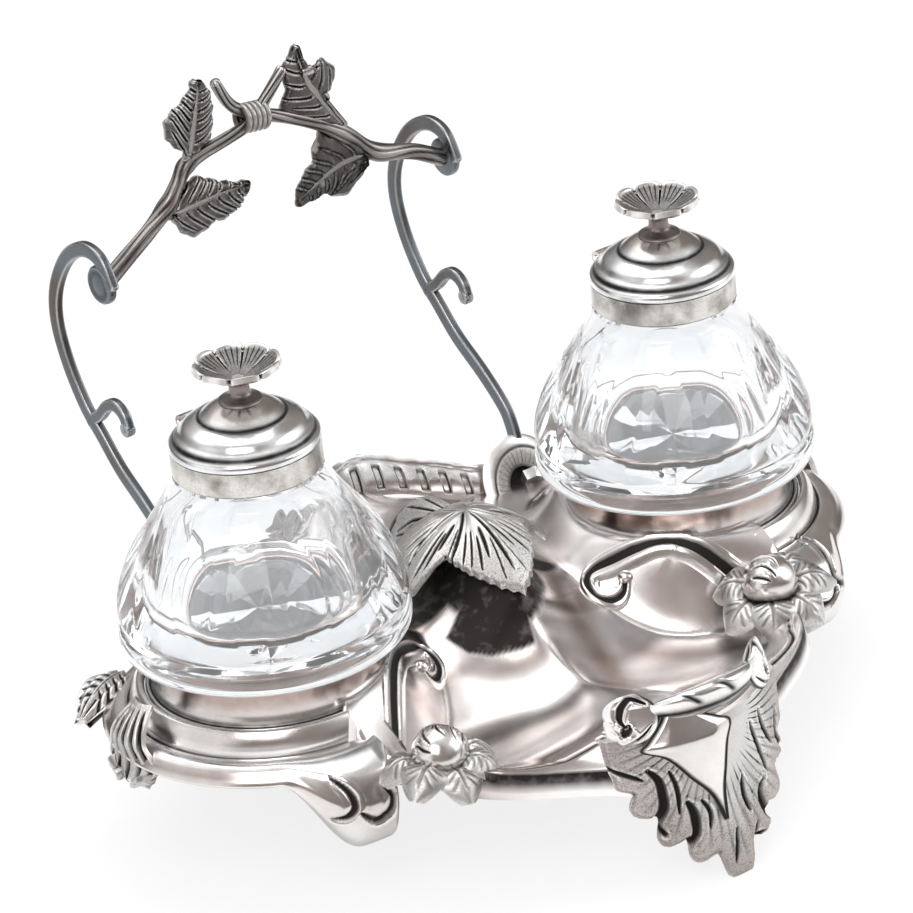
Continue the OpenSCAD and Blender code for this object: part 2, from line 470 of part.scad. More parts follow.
// ---- collars, hinges and lids ----
module knuckle(x0, x1) translate([x0, hinge_y, neck_z]) rotate([0, 90, 0]) difference() {
  cylinder(r = knuckle_r, h = x1 - x0);
  translate([0, 0, -1]) cylinder(r = pin_r + pin_gap, h = x1 - x0 + 2);
}
knuckle_x = 1.3;
module neck_collar(s) color(silver) at_well(s) difference() {
  union() {
    rotate_extrude() polygon([[neck_r, neck_z - collar_h], [collar_r - 0.3, neck_z - collar_h],
      [collar_r, neck_z - collar_h + 0.4], [collar_r, neck_z], [neck_r, neck_z]]);
    for (m = [-1, 1]) translate([m < 0 ? -pin_l / 2 + 0.3 : knuckle_x, 0, 0]) {
      translate([0, collar_r - 0.7, neck_z - 2.6]) cube([pin_l / 2 - 0.3 - knuckle_x,
        hinge_y - collar_r + 0.7, 1.9]);
      knuckle(0, pin_l / 2 - 0.3 - knuckle_x);
    }
  }
  translate([-pin_l, hinge_y, neck_z]) rotate([0, 90, 0]) cylinder(r = pin_r + pin_gap, h = 2 * pin_l);
}
module hinge_pin(s) color(silver) at_well(s) translate([-pin_l / 2, hinge_y, neck_z])
  rotate([0, 90, 0]) cylinder(r = pin_r, h = pin_l, $fn = 24);

// Outline of a lid: a rolled rim, a dome with a step, and a flat top that carries the finial
function lid_profile() = let (h = lid_h) [[collar_r - 1.2, lid_z], [collar_r, lid_z],
  [collar_r + 0.15, lid_z + 0.6], [collar_r - 0.1, lid_z + 1.4], [collar_r - 0.8, lid_z + 2],
  [collar_r - 1.3, lid_z + 0.3 * h], [collar_r - 2.2, lid_z + 0.38 * h], [collar_r - 3.4,
  lid_z + 0.52 * h], [collar_r - 5.4, lid_z + 0.64 * h], [collar_r - 6.4, lid_z + 0.67 * h],
  [collar_r - 6.9, lid_z + 0.72 * h], [collar_r - 8.8, lid_z + 0.88 * h], [collar_r - 11, lid_z + h], [0,
  lid_z + h],
  [0, lid_z + h - lid_t], [collar_r - 11.2, lid_z + h - lid_t], [collar_r - 9.4, lid_z + 0.88 * h - lid_t],
  [collar_r - 7.4, lid_z + 0.69 * h - lid_t], [collar_r - 4.2, lid_z + 0.5 * h - lid_t], [collar_r - 2,
  lid_z + 0.25 * h - 0.3]];
module lid(s) color(silver) at_well(s) difference() {
  union() {
    rotate_extrude() polygon(lid_profile());
    translate([-knuckle_x + 0.1, 0, 0]) knuckle(0, 2 * knuckle_x - 0.2);
    translate([-knuckle_x + 0.1, collar_r - 1, lid_z]) cube([2 * knuckle_x - 0.2, hinge_y - collar_r + 1,
      1.3]);
  }
  translate([-pin_l, hinge_y, neck_z]) rotate([0, 90, 0]) cylinder(r = pin_r + pin_gap, h = 2 * pin_l);
}
module finial_stem(s) color(silver) at_well(s) translate([0, 0, lid_top]) rotate_extrude() polygon([[0, 0],
  [4.5, 0], [4.6, 0.4], [3.6, 0.9], [2.4, 1.6], [2.1, 2.8], [2.2, 4], [2.7, stem_h], [0, stem_h]]);
// The cup on the lid: a ring of petals pressed from sheet, with a rolled and notched rim
module finial_cup(s) color(silver) at_well(s)
  sheet([for (i = [0:3]) [for (j = [0:39]) let (a = -9 * j, k = i / 3,
    fold = pow(abs(sin(a * cup_petals / 2)), 0.5), r = 1.4 + (cup_r - 1.4) * k * (1 - 0.05 * k * (1 - fold)))
    [r * cos(a), r * sin(a), lid_top + stem_h + (cup_h - stem_h) * pow(k, 1.3) + 0.5 * k * fold]]], 0.9,
    true);

tray_shell();
back_gallery();
well_ring(-1);  // left_well_ring
well_ring(1);  // right_well_ring
on_side(-1) apron();  // left_apron
on_side(1) apron();  // right_apron
centre_leaf();
front_foot();
front_shield();
front_scroll_band();
on_side(-1) comma_scroll();  // left_comma_scroll
on_side(1) comma_scroll();  // right_comma_scroll
on_side(-1) front_volute(left_knuckle_z);  // left_front_volute
on_side(1) front_volute(right_knuckle_z);  // right_front_volute
on_side(-1) back_leg();  // left_back_leg
on_side(1) back_leg();  // right_back_leg
on_side(-1) flower_petals(left_bud, left_lean);  // left_flower_petals
on_side(1) flower_petals(right_bud, right_lean);  // right_flower_petals
on_side(-1) flower_bud(left_bud);  // left_flower_bud
on_side(1) flower_bud(right_bud);  // right_flower_bud
on_side(-1) c_scroll();  // left_c_scroll
on_side(1) c_scroll();  // right_c_scroll
on_side(-1) end_leaf();  // left_end_leaf
on_side(1) end_leaf();  // right_end_leaf
on_side(-1) side_leaf();  // left_side_leaf
on_side(1) side_leaf();  // right_side_leaf
on_side(-1) rocaille();  // left_rocaille
on_side(1) rocaille();  // right_rocaille
on_side(-1) upright();  // left_upright
on_side(1) upright();  // right_upright
handle_branch();
handle_tie();
handle_twigs();
vine_leaf([[-22.2, 23], [-25, 25.8], [-25.8, 29.2],  // left_upper_leaf
  [-24.4, 31.8],
  [-21.4, 33.6], [-19, 35.6], [-17.6, 37.8], [-16, 37.4], [-13.7, 34.8], [-12.9, 31.5], [-13.2, 27.5],
  [-14.2, 23.8],
  [-17.4, 22.2], [-20, 21.4]], [[-21, 20.5], [-18.6, 28], [-16.4, 36.6]]);
vine_leaf([[-26.8, 10.6], [-24, 13.5], [-21.8, 15.6],  // left_lower_leaf
  [-19.2, 16.4],
  [-14.4, 14], [-10.7, 12.4], [-6.2, 10.9], [-7.2, 8.6], [-8.9, 6.1], [-11.8, 4.5], [-16.4, 4.2], [-18.6,
  3.1],
  [-21.3, 2.9], [-23.7, 4.2], [-26.2, 7.8]], [[-28, 10], [-20, 10.2], [-13.5, 10.8], [-7.2, 10.6]]);
vine_leaf([[3.4, 22.4], [4.6, 26.8], [5.8, 28.6], [4.9,  // right_upper_leaf
  32], [6.6, 35.2],
  [9.1, 37.6], [10.6, 34.4], [12.1, 32.2], [13.8, 31.5], [16.1, 32.4], [19.1, 28.8], [17.4, 26], [15.4, 23.4],
  [19, 16.6], [13.8, 17.8], [7.6, 20.8]], [[19.4, 15.4], [15, 22.4], [11.1, 28.8], [9, 36.6]]);
vine_leaf([[13.2, 16.6], [11, 12.6], [10.2, 9.9], [7.2,  // right_lower_leaf
  7.2], [5.2, 3.4],
  [5.6, 1.2], [9.1, 1.1], [13.2, 1.4], [17, -0.4], [19.8, 0], [22.5, 2.4], [23.4, 5.4], [26.4, 7.2], [21,
  12.2]],
  [[26, 7], [19.3, 7.6], [12.9, 5.8], [6.4, 2.8]]);
glass(-1);  // left_glass
glass(1);  // right_glass
neck_collar(-1);  // left_neck_collar
neck_collar(1);  // right_neck_collar
hinge_pin(-1);  // left_hinge_pin
hinge_pin(1);  // right_hinge_pin
lid(-1);  // left_lid
lid(1);  // right_lid
finial_stem(-1);  // left_finial_stem
finial_stem(1);  // right_finial_stem
finial_cup(-1);  // left_finial_cup
finial_cup(1);  // right_finial_cup
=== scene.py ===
import math

import bmesh
import bpy
import numpy as np
from mathutils import Matrix, Vector


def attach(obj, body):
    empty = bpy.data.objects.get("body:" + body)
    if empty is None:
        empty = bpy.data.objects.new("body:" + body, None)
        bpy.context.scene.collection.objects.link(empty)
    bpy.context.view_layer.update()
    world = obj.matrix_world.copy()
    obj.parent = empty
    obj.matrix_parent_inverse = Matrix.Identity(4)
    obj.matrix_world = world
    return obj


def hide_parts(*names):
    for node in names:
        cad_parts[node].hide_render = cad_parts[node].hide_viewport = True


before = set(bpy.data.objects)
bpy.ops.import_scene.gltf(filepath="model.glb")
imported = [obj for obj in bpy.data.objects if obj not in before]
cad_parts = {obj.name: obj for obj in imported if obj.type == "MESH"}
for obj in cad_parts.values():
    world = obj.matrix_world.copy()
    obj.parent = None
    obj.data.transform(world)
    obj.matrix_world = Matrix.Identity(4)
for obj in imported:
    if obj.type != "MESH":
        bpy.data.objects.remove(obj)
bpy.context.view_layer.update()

# Sizes are in millimetres until a mesh is made
MM = 0.001
SIDES = (("left", -1), ("right", 1))
UP = np.array([0, 0, 1])

# The stand's sizes
WELL_X = 54.5
SEAT_Z = 46.6
SEAT_R = 23.2
SEAT_W = 2.8
RING_FOOT_R = SEAT_R + 3
RING_FOOT_Z = SEAT_Z - 9.3
APRON_R = 35.8
APRON_Z = 29.4
KNUCKLE_AT = -84
KNUCKLE_OUT = 7
KNUCKLE_Z = {"left": 13.5, "right": 16}
SHEET = 1.2
CREST_Z = 51
DISH_Z = 21
TRAY_FRONT = 77
TRAY_BACK = 48
GALLERY_Z = 50.5
FOOT_FRONT = 84
FAN_Z = 34
LEG_X, LEG_Y = 51, 38
BAR_X = 45.5
DISC_Y = 63
BRANCH_Z = 102
BRANCH_RISE = 24

# The bottles' sizes
FLANGE_R = 30.3
FLANGE_H = 5.2
NECK_Z = SEAT_Z + 43
NECK_R = 14.2
MOUTH_R = 9.5
INK_R = 17
PLUG_H = 2.6
PLUG_R = SEAT_R - SEAT_W - 0.3
COLLAR_H = 5.4
COLLAR_R = NECK_R + 1.3
LID_Z = NECK_Z + 0.15
LID_H = 9.2
LID_TOP = LID_Z + LID_H
HINGE_Y = COLLAR_R + 1.8
HINGE_PIN_R = 0.65
KNUCKLE_R = 1.5
KNUCKLE_W = 2.4
STEM_H = 5
CUP_R = 9
CUP_H = 8.2


# ---- curves and surfaces ----

def lookup(v, table):
    """The value at v of a line through the table's points."""
    at, values = zip(*table)
    return np.interp(v, at, values)


def smooth(a, b, t):
    """0 before a, 1 after b and a soft step between them."""
    k = np.clip((t - a) / (b - a), 0, 1)
    return k * k * (3 - 2 * k)


def peak(v, at, width):
    """A soft bump of height 1 where v is at the given value."""
    return np.exp(-((v - at) / width) ** 2)


def column(a, b, n):
    """n even values, one for each row of a grid."""
    return np.linspace(a, b, n)[:, None]


def row(a, b, n, **ends):
    """n even values, one for each column of a grid."""
    return np.linspace(a, b, n, **ends)[None]


def grid_of(x, y, z):
    """A grid of points; each coordinate is given for its rows, its columns or both."""
    return np.stack(np.broadcast_arrays(x, y, z), 2)


def curve(points, n):
    """A smooth curve through the points, with n steps between each two."""
    p = np.asarray(points, float)
    held = np.vstack([p[:1], p, p[-1:]])
    t = (np.arange(n) / n)[:, None]
    steps = []
    for i in range(len(p) - 1):
        a, b, c, d = held[i:i + 4]
        steps.append(0.5 * (2 * b + (c - a) * t + (2 * a - 5 * b + 4 * c - d) * t ** 2
                            + (3 * b - a - 3 * c + d) * t ** 3))
    return np.vstack(steps + [p[-1:]])


def even(line, n):
    """n points at even distances along a line."""
    line = np.asarray(line, float)
    run = np.concatenate([[0], np.cumsum(np.linalg.norm(np.diff(line, axis=0), axis=1))])
    at = np.linspace(0, run[-1], n)
    return np.stack([np.interp(at, run, line[:, k]) for k in range(line.shape[1])], 1)


def soft_table(table, n=6):
    """The same table with its corners rounded."""
    rounded = curve(table, n)
    order = np.argsort(rounded[:, 0], kind="stable")
    return [tuple(q) for q in rounded[order]]


def unit(v):
    """The same directions, each one long."""
    return v / np.maximum(np.linalg.norm(v, axis=-1, keepdims=True), 1e-9)


def cells(rows, cols, wrap_cols, wrap_rows=False, start=0):
    """Four-sided faces between the points of a grid."""
    i = np.arange(rows if wrap_rows else rows - 1)[:, None]
    j = np.arange(cols if wrap_cols else cols - 1)[None]
    up, along = (i + 1) % rows, (j + 1) % cols
    corners = (i * cols + j, i * cols + along, up * cols + along, up * cols + j)
    return start + np.stack([c.ravel() for c in np.broadcast_arrays(*corners)], 1)


def square_to(grid, wrap):
    """The direction square to a grid at each of its points."""
    if wrap:
        right = np.roll(grid, -1, 1) - np.roll(grid, 1, 1)
    else:
        right = np.gradient(grid, axis=1)
    across = unit(np.cross(right, np.gradient(grid, axis=0)))
    if wrap:
        for k, near in ((0, 1), (-1, -2)):
            if np.ptp(grid[k], axis=0).max() < 1e-6:
                across[k] = unit(across[near].mean(0))
    return across


def painted_on(marks, rows, cols):
    """The value of each painted mark at each point of a grid."""
    return {k: np.broadcast_to(np.asarray(v, float), (rows, cols)).ravel()
            for k, v in marks.items()}


def sheet(grid, thick, relief=0.0, wrap=False, **marks):
    """A slab whose outer face is the grid, raised by the relief and painted with the marks."""
    rows, cols = grid.shape[:2]
    across = square_to(grid, wrap)
    top = grid + across * np.broadcast_to(relief, (rows, cols))[..., None]
    low = grid - across * thick
    count = rows * cols
    faces = [cells(rows, cols, wrap), cells(rows, cols, wrap, start=count)[:, ::-1]]
    edges = [np.arange(cols), ((rows - 1) * cols + np.arange(cols))[::-1]]
    if not wrap:
        edges += [np.arange(rows)[::-1] * cols, np.arange(rows) * cols + cols - 1]
    for a in edges:
        b = np.roll(a, -1)
        if not wrap:
            a, b = a[:-1], b[:-1]
        faces.append(np.stack([b, a, a + count, b + count], 1))
    painted = {k: np.concatenate([v, np.zeros(count)])
               for k, v in painted_on(marks, rows, cols).items()}
    return np.concatenate([top.reshape(-1, 3), low.reshape(-1, 3)]), faces, painted


# A tube's closed end: for each ring its share of the width and how far it stands out
END_RINGS = ((0.8, 0.6), (0.45, 0.9), (0.0, 1.0))


def tube(path, half_w, half_d, side, turns, shape=None, **marks):
    """A solid along a path: half_w across and half_d deep, with closed round ends."""
    path = np.asarray(path, float)
    n = len(path)
    ahead = unit(np.gradient(path, axis=0))
    u = unit(np.cross(np.broadcast_to(np.asarray(side, float), path.shape), ahead))
    v = np.cross(ahead, u)
    a = np.arange(turns) * 2 * np.pi / turns
    scale = np.ones((n, turns)) if shape is None else shape(column(0, 1, n), a[None])
    half_w, half_d = (np.broadcast_to(h, (n,))[:, None] for h in (half_w, half_d))
    rings = (path[:, None] + (half_d * np.cos(a) * scale)[..., None] * u[:, None]
             + (half_w * np.sin(a) * scale)[..., None] * v[:, None])
    ends = []
    for k, way in ((0, -1), (n - 1, 1)):
        bulge = min(float(half_w[k, 0]), float(half_d[k, 0])) * 0.6
        for part, out in END_RINGS:
            ends.append(path[k] + (rings[k] - path[k]) * part + way * out * bulge * ahead[k])
    grid = np.stack(ends[2::-1] + list(rings) + ends[3:])
    rows = len(grid)
    return grid.reshape(-1, 3), [cells(rows, turns, True)], painted_on(marks, rows, turns)


def boxy(power):
    """A tube's section between round and square."""
    def shape(s, a):
        return (np.abs(np.cos(a)) ** power + np.abs(np.sin(a)) ** power) ** (-1 / power) + 0 * s

    return shape


def lathe(profile, steps, swell=None, lift=None, **marks):
    """A closed outline of radius and height turned round the upright axis."""
    profile = np.asarray(profile, float)
    a = np.radians(360 * np.arange(steps) / steps)[:, None]
    r, z = (np.repeat(profile[None, :, k], steps, 0) for k in (0, 1))
    if swell is not None:
        r = r + swell(r, z, a)
    if lift is not None:
        z = z + lift(r, a)
    cols = len(profile)
    return (grid_of(r * np.cos(a), r * np.sin(a), z).reshape(-1, 3),
            [cells(steps, cols, True, wrap_rows=True)], painted_on(marks, steps, cols))


def mirrored(part, s):
    """The part as it is on the right side (s = 1) or mirrored to the left (s = -1)."""
    points, faces, marks = part
    return points * np.array([s, 1, 1]), faces, marks


def along_x(part):
    """A part made round the upright axis, turned so that this axis runs along x."""
    points, faces, marks = part
    return points[:, [2, 0, 1]], faces, marks


def moved(part, by):
    """The same part, shifted."""
    points, faces, marks = part
    return points + np.asarray(by, float), faces, marks


def on_table(part):
    """The same part with nothing below the table's top."""
    points, faces, marks = part
    return points * (1, 1, 0) + np.maximum(points, 0) * (0, 0, 1), faces, marks


def at_well(part, s):
    """A part made round the upright axis, set on the axis of one side's well."""
    return moved(part, (s * WELL_X, 0, 0))


def distance_to(p, line):
    """For each point of p, its distance to a line and how far along the line that is."""
    best, where = np.full(len(p), 1e9), np.zeros(len(p))
    for i in range(len(line) - 1):
        a, ab = line[i], line[i + 1] - line[i]
        t = np.clip((p - a) @ ab / max(ab @ ab, 1e-9), 0, 1)
        d = np.linalg.norm(p - a - t[:, None] * ab, axis=1)
        near = d < best
        best[near] = d[near]
        where[near] = (i + t[near]) / (len(line) - 1)
    return best, where


def engrave(x, y, strokes):
    """Grooves along strokes of (points, half width, depth): the relief and how dark it is."""
    x, y = np.broadcast_arrays(x, y)
    p = np.stack([x.ravel(), y.ravel()], 1)
    relief, dark, lips = np.zeros((3, len(p)))
    for points, width, depth in strokes:
        d, s = distance_to(p, curve(points, 4))
        # A groove runs out to a fine point at both ends and has a small lip on each side
        w = width * (0.3 + 0.7 * np.sin(np.pi * np.clip(s, 0.02, 0.98)) ** 0.6)
        cut = 1 - smooth(0.4, 1.1, d / w)
        relief = np.minimum(relief, -depth * cut)
        lips = np.maximum(lips, 0.15 * depth * peak(d / w, 1.9, 0.5))
        dark = np.maximum(dark, cut)
    return (relief + lips).reshape(x.shape), dark.reshape(x.shape)


def on_both(strokes):
    """The strokes and their mirror images."""
    return [([(s * a, b) for a, b in points], width, depth)
            for s in (1, -1) for points, width, depth in strokes]


# ---- making pieces ----

# The painted marks: dark with oxide in hollows and with painted shade, rubbed bright, dotted with a
# punch, and warmed by tarnish and by painted reflections
PAINTED = ("recess", "edge", "chased", "haze")
# Points closer than this, in metres, are one point
MERGE = 1e-7


def wear_of(mesh):
    """How hollow (dark) and how sharp (rubbed bright) the surface is at each point."""
    n = len(mesh.vertices)
    co, no = np.zeros(n * 3), np.zeros(n * 3)
    mesh.vertices.foreach_get("co", co)
    mesh.vertices.foreach_get("normal", no)
    co, no = co.reshape(-1, 3) / MM, no.reshape(-1, 3)
    ends = np.zeros(len(mesh.edges) * 2, np.int64)
    mesh.edges.foreach_get("vertices", ends)
    a, b = ends.reshape(-1, 2).T
    run = co[b] - co[a]
    length = np.maximum((run ** 2).sum(1), 0.02)
    bend, count = np.zeros((2, n))
    for k, way in ((a, 1), (b, -1)):
        np.add.at(bend, k, way * (run * no[k]).sum(1) / length)
        np.add.at(count, k, 1)
    count = np.maximum(count, 1)
    bend /= count
    for _ in range(2):
        total = np.zeros(n)
        np.add.at(total, a, bend[b])
        np.add.at(total, b, bend[a])
        bend = 0.5 * bend + 0.5 * total / count
    return smooth(0.05, 0.5, bend), smooth(0.12, 0.7, -bend)


def mesh_of(name, parts):
    """One mesh from parts of (points, faces, marks), with doubles merged and faces turned out."""
    mesh = bpy.data.meshes.new(name)
    faces, start = [], 0
    for points, blocks, _ in parts:
        for block in blocks:
            faces += (block + start).tolist()
        start += len(points)
    mesh.from_pydata((np.concatenate([p[0] for p in parts]) * MM).tolist(), [], faces)
    for k in PAINTED:
        values = [np.broadcast_to(marks.get(k, 0.0), (len(points),)) for points, _, marks in parts]
        mesh.attributes.new(k, "FLOAT", "POINT").data.foreach_set("value", np.concatenate(values))
    tidy = bmesh.new()
    tidy.from_mesh(mesh)
    bmesh.ops.remove_doubles(tidy, verts=tidy.verts, dist=MERGE)
    bmesh.ops.dissolve_degenerate(tidy, edges=tidy.edges, dist=MERGE)
    bmesh.ops.recalc_face_normals(tidy, faces=tidy.faces)
    tidy.to_mesh(mesh)
    tidy.free()
    return mesh


def place_piece(name, mesh, body, nodes, slot, look=None, sharp=50):
    """Puts a finished mesh in the scene as a piece that stands for the CAD nodes."""
    mesh.name = name
    mesh.polygons.foreach_set("use_smooth", np.ones(len(mesh.polygons), bool))
    mesh.set_sharp_from_angle(angle=math.radians(sharp))
    for k, worn in zip(("recess", "edge"), wear_of(mesh)):
        kept = np.zeros(len(mesh.vertices))
        mesh.attributes[k].data.foreach_get("value", kept)
        worn = np.clip(np.maximum(kept, worn), 0, 1)
        mesh.attributes[k].data.foreach_set("value", worn)
    mesh.materials.clear()
    mesh.materials.append(LOOKS[look or slot])
    piece = bpy.data.objects.new(name, mesh)
    bpy.context.collection.objects.link(piece)
    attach(piece, body)
    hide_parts(*nodes)


def add_piece(name, parts, body, nodes, slot, look=None, sharp=50):
    """Makes a piece from its parts; its look is the slot's own unless another is named."""
    place_piece(name, mesh_of(name, parts), body, nodes, slot, look, sharp)


def add_pairs(*pairs, **settings):
    """On the left, then on the right: a piece of the stand for each (label, parts, node, slot).

    The parts are made for the right side; label and node follow the side's name.
    """
    for side, s in SIDES:
        for label, parts, node_label, slot in pairs:
            add_piece(side + label, [mirrored(p, s) for p in parts], "stand",
                      [side + node_label], slot, **settings)


# ---- repeated copies ----

def copies_tree():
    """Copies of one piece, each shifted a step further than the last."""
    tree, given, result = group_of("row of copies", "GeometryNodeTree", [
        ("Piece", "NodeSocketObject"), ("Count", "NodeSocketInt"), ("Step", "NodeSocketVector"),
        ("Finish", "NodeSocketMaterial")], [("Geometry", "NodeSocketGeometry")])
    piece = node(tree, "GeometryNodeObjectInfo", {"Object": given["Piece"]}).outputs["Geometry"]
    index = node(tree, "GeometryNodeInputIndex").outputs[0]
    place = node(tree, "ShaderNodeVectorMath", {0: given["Step"], "Scale": index},
                 operation="SCALE").outputs["Vector"]
    points = node(tree, "GeometryNodePoints",
                  {"Count": given["Count"], "Position": place}).outputs[0]
    copies = node(tree, "GeometryNodeInstanceOnPoints",
                  {"Points": points, "Instance": piece}).outputs[0]
    real = node(tree, "GeometryNodeRealizeInstances", {"Geometry": copies}).outputs[0]
    finished = node(tree, "GeometryNodeSetMaterial",
                    {"Geometry": real, "Material": given["Finish"]}).outputs[0]
    tree.links.new(finished, result["Geometry"])
    return tree


def copies_of(part, count, step, finish):
    """A plain mesh of copies of a part, each shifted by one more step."""
    pattern = bpy.data.objects.new("pattern", mesh_of("pattern", [part]))
    carrier = bpy.data.objects.new("carrier", bpy.data.meshes.new("carrier"))
    for o in (pattern, carrier):
        bpy.context.collection.objects.link(o)
    modifier = carrier.modifiers.new("copies", "NODES")
    modifier.node_group = COPIES
    values = {"Piece": pattern, "Count": count, "Step": tuple(v * MM for v in step),
              "Finish": LOOKS[finish]}
    for item in COPIES.interface.items_tree:
        if item.in_out == "INPUT":
            modifier[item.identifier] = values[item.name]
    view = bpy.context.evaluated_depsgraph_get()
    mesh = bpy.data.meshes.new_from_object(carrier.evaluated_get(view))
    for o in (pattern, carrier):
        bpy.data.objects.remove(o)
    return mesh


# ---- finishes ----

def node(tree, kind, given=None, **settings):
    """Adds a node; a given input is a value or another node's socket."""
    made = tree.nodes.new(kind)
    for k, v in settings.items():
        setattr(made, k, v)
    for k, v in (given or {}).items():
        if isinstance(v, bpy.types.NodeSocket):
            tree.links.new(v, made.inputs[k])
        else:
            made.inputs[k].default_value = v
    return made


def group_of(name, kind, inputs, outputs):
    """A node group; inputs are (label, socket kind, value if any), outputs (label, socket kind)."""
    tree = bpy.data.node_groups.new(name, kind)
    for label, socket_kind, *value in inputs:
        socket = tree.interface.new_socket(label, in_out="INPUT", socket_type=socket_kind)
        if value:
            socket.default_value = value[0]
    for label, socket_kind in outputs:
        tree.interface.new_socket(label, in_out="OUTPUT", socket_type=socket_kind)
    given, result = tree.nodes.new("NodeGroupInput"), tree.nodes.new("NodeGroupOutput")
    return tree, given.outputs, result.inputs


def maths(tree, operation, a, b, c=0.5, clamp=False):
    """A sum of a and b; c is added where the operation is MULTIPLY_ADD."""
    return node(tree, "ShaderNodeMath", {0: a, 1: b, 2: c}, operation=operation,
                use_clamp=clamp).outputs[0]


def blend_colours(tree, share, a, b, kind="MIX"):
    """Colour a, with colour b mixed in by its share."""
    return node(tree, "ShaderNodeMix", {0: share, 6: a, 7: b}, data_type="RGBA",
                blend_type=kind).outputs[2]


def worn_silver_group():
    """Silver: dark with oxide in its hollows and where shade is painted, warm where hazed and where
    reflections are painted, bright on its edges, dotted where chased.
    """
    colour, number = "NodeSocketColor", "NodeSocketFloat"
    tree, given, result = group_of("worn silver", "ShaderNodeTree", [
        ("Metal", colour, (0.8, 0.78, 0.76, 1)), ("Clouded", colour, (0.6, 0.56, 0.54, 1)),
        ("Warm", colour, (0.36, 0.28, 0.25, 1)), ("Dark", colour, (0.03, 0.027, 0.026, 1)),
        ("Bright", colour, (0.92, 0.9, 0.88, 1)), ("Cloud", number, 0.3),
        ("Cloud Scale", number, 55.0), ("Groove", number, 1.0), ("Rub", number, 0.5),
        ("Roughness", number, 0.14), ("Dot Size", number, 0.42), ("Grain", number, 0.2)],
        [("Color", colour), ("Roughness", number), ("Height", number)])

    def sum_of(operation, *values, **settings):
        return maths(tree, operation, *values, **settings)

    place = tree.nodes.new("ShaderNodeTexCoord").outputs["Object"]
    painted = {k: node(tree, "ShaderNodeAttribute", attribute_name=k).outputs["Fac"]
               for k in PAINTED}
    broad, fine, grain = (
        node(tree, "ShaderNodeTexNoise",
             {"Vector": place, "Scale": scale, "Detail": detail}).outputs["Fac"]
        for scale, detail in ((given["Cloud Scale"], 3.0), (420.0, 4.0), (2400.0, 2.0)))
    broad = node(tree, "ShaderNodeMapRange",
                 {0: broad, 1: 0.42, 2: 0.68, 3: 0.0, 4: 1.0}).outputs[0]
    patchy = sum_of("MULTIPLY_ADD", fine, 0.5, 0.85)
    cloud = sum_of("MULTIPLY", broad, given["Cloud"])
    made = blend_colours(tree, cloud, given["Metal"], given["Clouded"])
    # Warm tint from tarnish and from painted reflections
    haze = sum_of("MULTIPLY", painted["haze"], patchy, clamp=True)
    made = blend_colours(tree, haze, made, given["Warm"])
    # Dark from oxide in hollows and from painted shade and painted dark reflections
    groove = sum_of("MULTIPLY", painted["recess"], given["Groove"])
    groove = sum_of("MULTIPLY", groove, patchy, clamp=True)
    made = blend_colours(tree, groove, made, given["Dark"])
    rub = sum_of("MULTIPLY", painted["edge"], given["Rub"], clamp=True)
    made = blend_colours(tree, rub, made, given["Bright"])
    # Dots from the chasing punch; their size is in millimetres
    count = sum_of("DIVIDE", 1000.0, given["Dot Size"])
    dots = node(tree, "ShaderNodeTexVoronoi", {"Vector": place, "Scale": count}).outputs["Distance"]
    pits = node(tree, "ShaderNodeMapRange", {0: dots, 1: 0.12, 2: 0.42, 3: 1.0, 4: 0.0}).outputs[0]
    pits = sum_of("MULTIPLY", pits, painted["chased"])
    made = blend_colours(tree, sum_of("MULTIPLY", pits, 0.75), made, given["Dark"])
    speck = sum_of("MULTIPLY", sum_of("SUBTRACT", grain, 0.5), given["Grain"])
    shade = node(tree, "ShaderNodeCombineColor",
                 {k: sum_of("ADD", speck, 1.0) for k in ("Red", "Green", "Blue")}).outputs[0]
    made = blend_colours(tree, 1.0, made, shade, "MULTIPLY")
    rough = sum_of("MULTIPLY_ADD", groove, 0.35, given["Roughness"])
    rough = sum_of("ADD", rough, sum_of("MULTIPLY", painted["chased"], 0.16))
    rough = sum_of("ADD", rough, sum_of("MULTIPLY", fine, 0.07))
    height = sum_of("SUBTRACT", sum_of("MULTIPLY", fine, 0.25), pits)
    for label, socket in (("Color", made), ("Roughness", rough), ("Height", height)):
        tree.links.new(socket, result[label])
    return tree


def silver(name, depth=0.05, **values):
    """A silver finish; the values go to the worn silver group."""
    material = bpy.data.materials.new(name)
    material.use_nodes = True
    tree = material.node_tree
    shader = tree.nodes["Principled BSDF"]
    worn = node(tree, "ShaderNodeGroup", node_tree=WORN)
    for k, v in values.items():
        label = k.replace("_", " ").title()
        worn.inputs[label].default_value = v if isinstance(v, float) else (*v, 1)
    shader.inputs["Metallic"].default_value = 1.0
    bump = node(tree, "ShaderNodeBump", {
        "Strength": 1.0, "Distance": depth * MM, "Height": worn.outputs["Height"]})
    tree.links.new(worn.outputs["Color"], shader.inputs["Base Color"])
    tree.links.new(worn.outputs["Roughness"], shader.inputs["Roughness"])
    tree.links.new(bump.outputs[0], shader.inputs["Normal"])
    return material


def cut_glass():
    """Clear glass with the faintest waviness; its shadow lets the light through."""
    material = bpy.data.materials.new("cut_glass")
    material.use_nodes = True
    tree = material.node_tree
    shader, result = tree.nodes["Principled BSDF"], tree.nodes["Material Output"]
    for k, v in (("Base Color", (0.97, 0.985, 1, 1)), ("Metallic", 0.0),
                 ("Transmission Weight", 0.95), ("Roughness", 0.02), ("IOR", 1.38)):
        shader.inputs[k].default_value = v
    place = tree.nodes.new("ShaderNodeTexCoord").outputs["Object"]
    wave = node(tree, "ShaderNodeTexNoise",
                {"Vector": place, "Scale": 90.0, "Detail": 1.0}).outputs["Fac"]
    bump = node(tree, "ShaderNodeBump", {"Strength": 1.0, "Distance": 0.05 * MM, "Height": wave})
    tree.links.new(bump.outputs[0], shader.inputs["Normal"])
    rays = tree.nodes.new("ShaderNodeLightPath")
    clear = tree.nodes.new("ShaderNodeBsdfTransparent")
    mix = node(tree, "ShaderNodeMixShader", {
        0: maths(tree, "MULTIPLY", rays.outputs["Is Shadow Ray"], 0.9),
        1: shader.outputs[0], 2: clear.outputs[0]})
    tree.links.new(mix.outputs[0], result.inputs["Surface"])
    return material


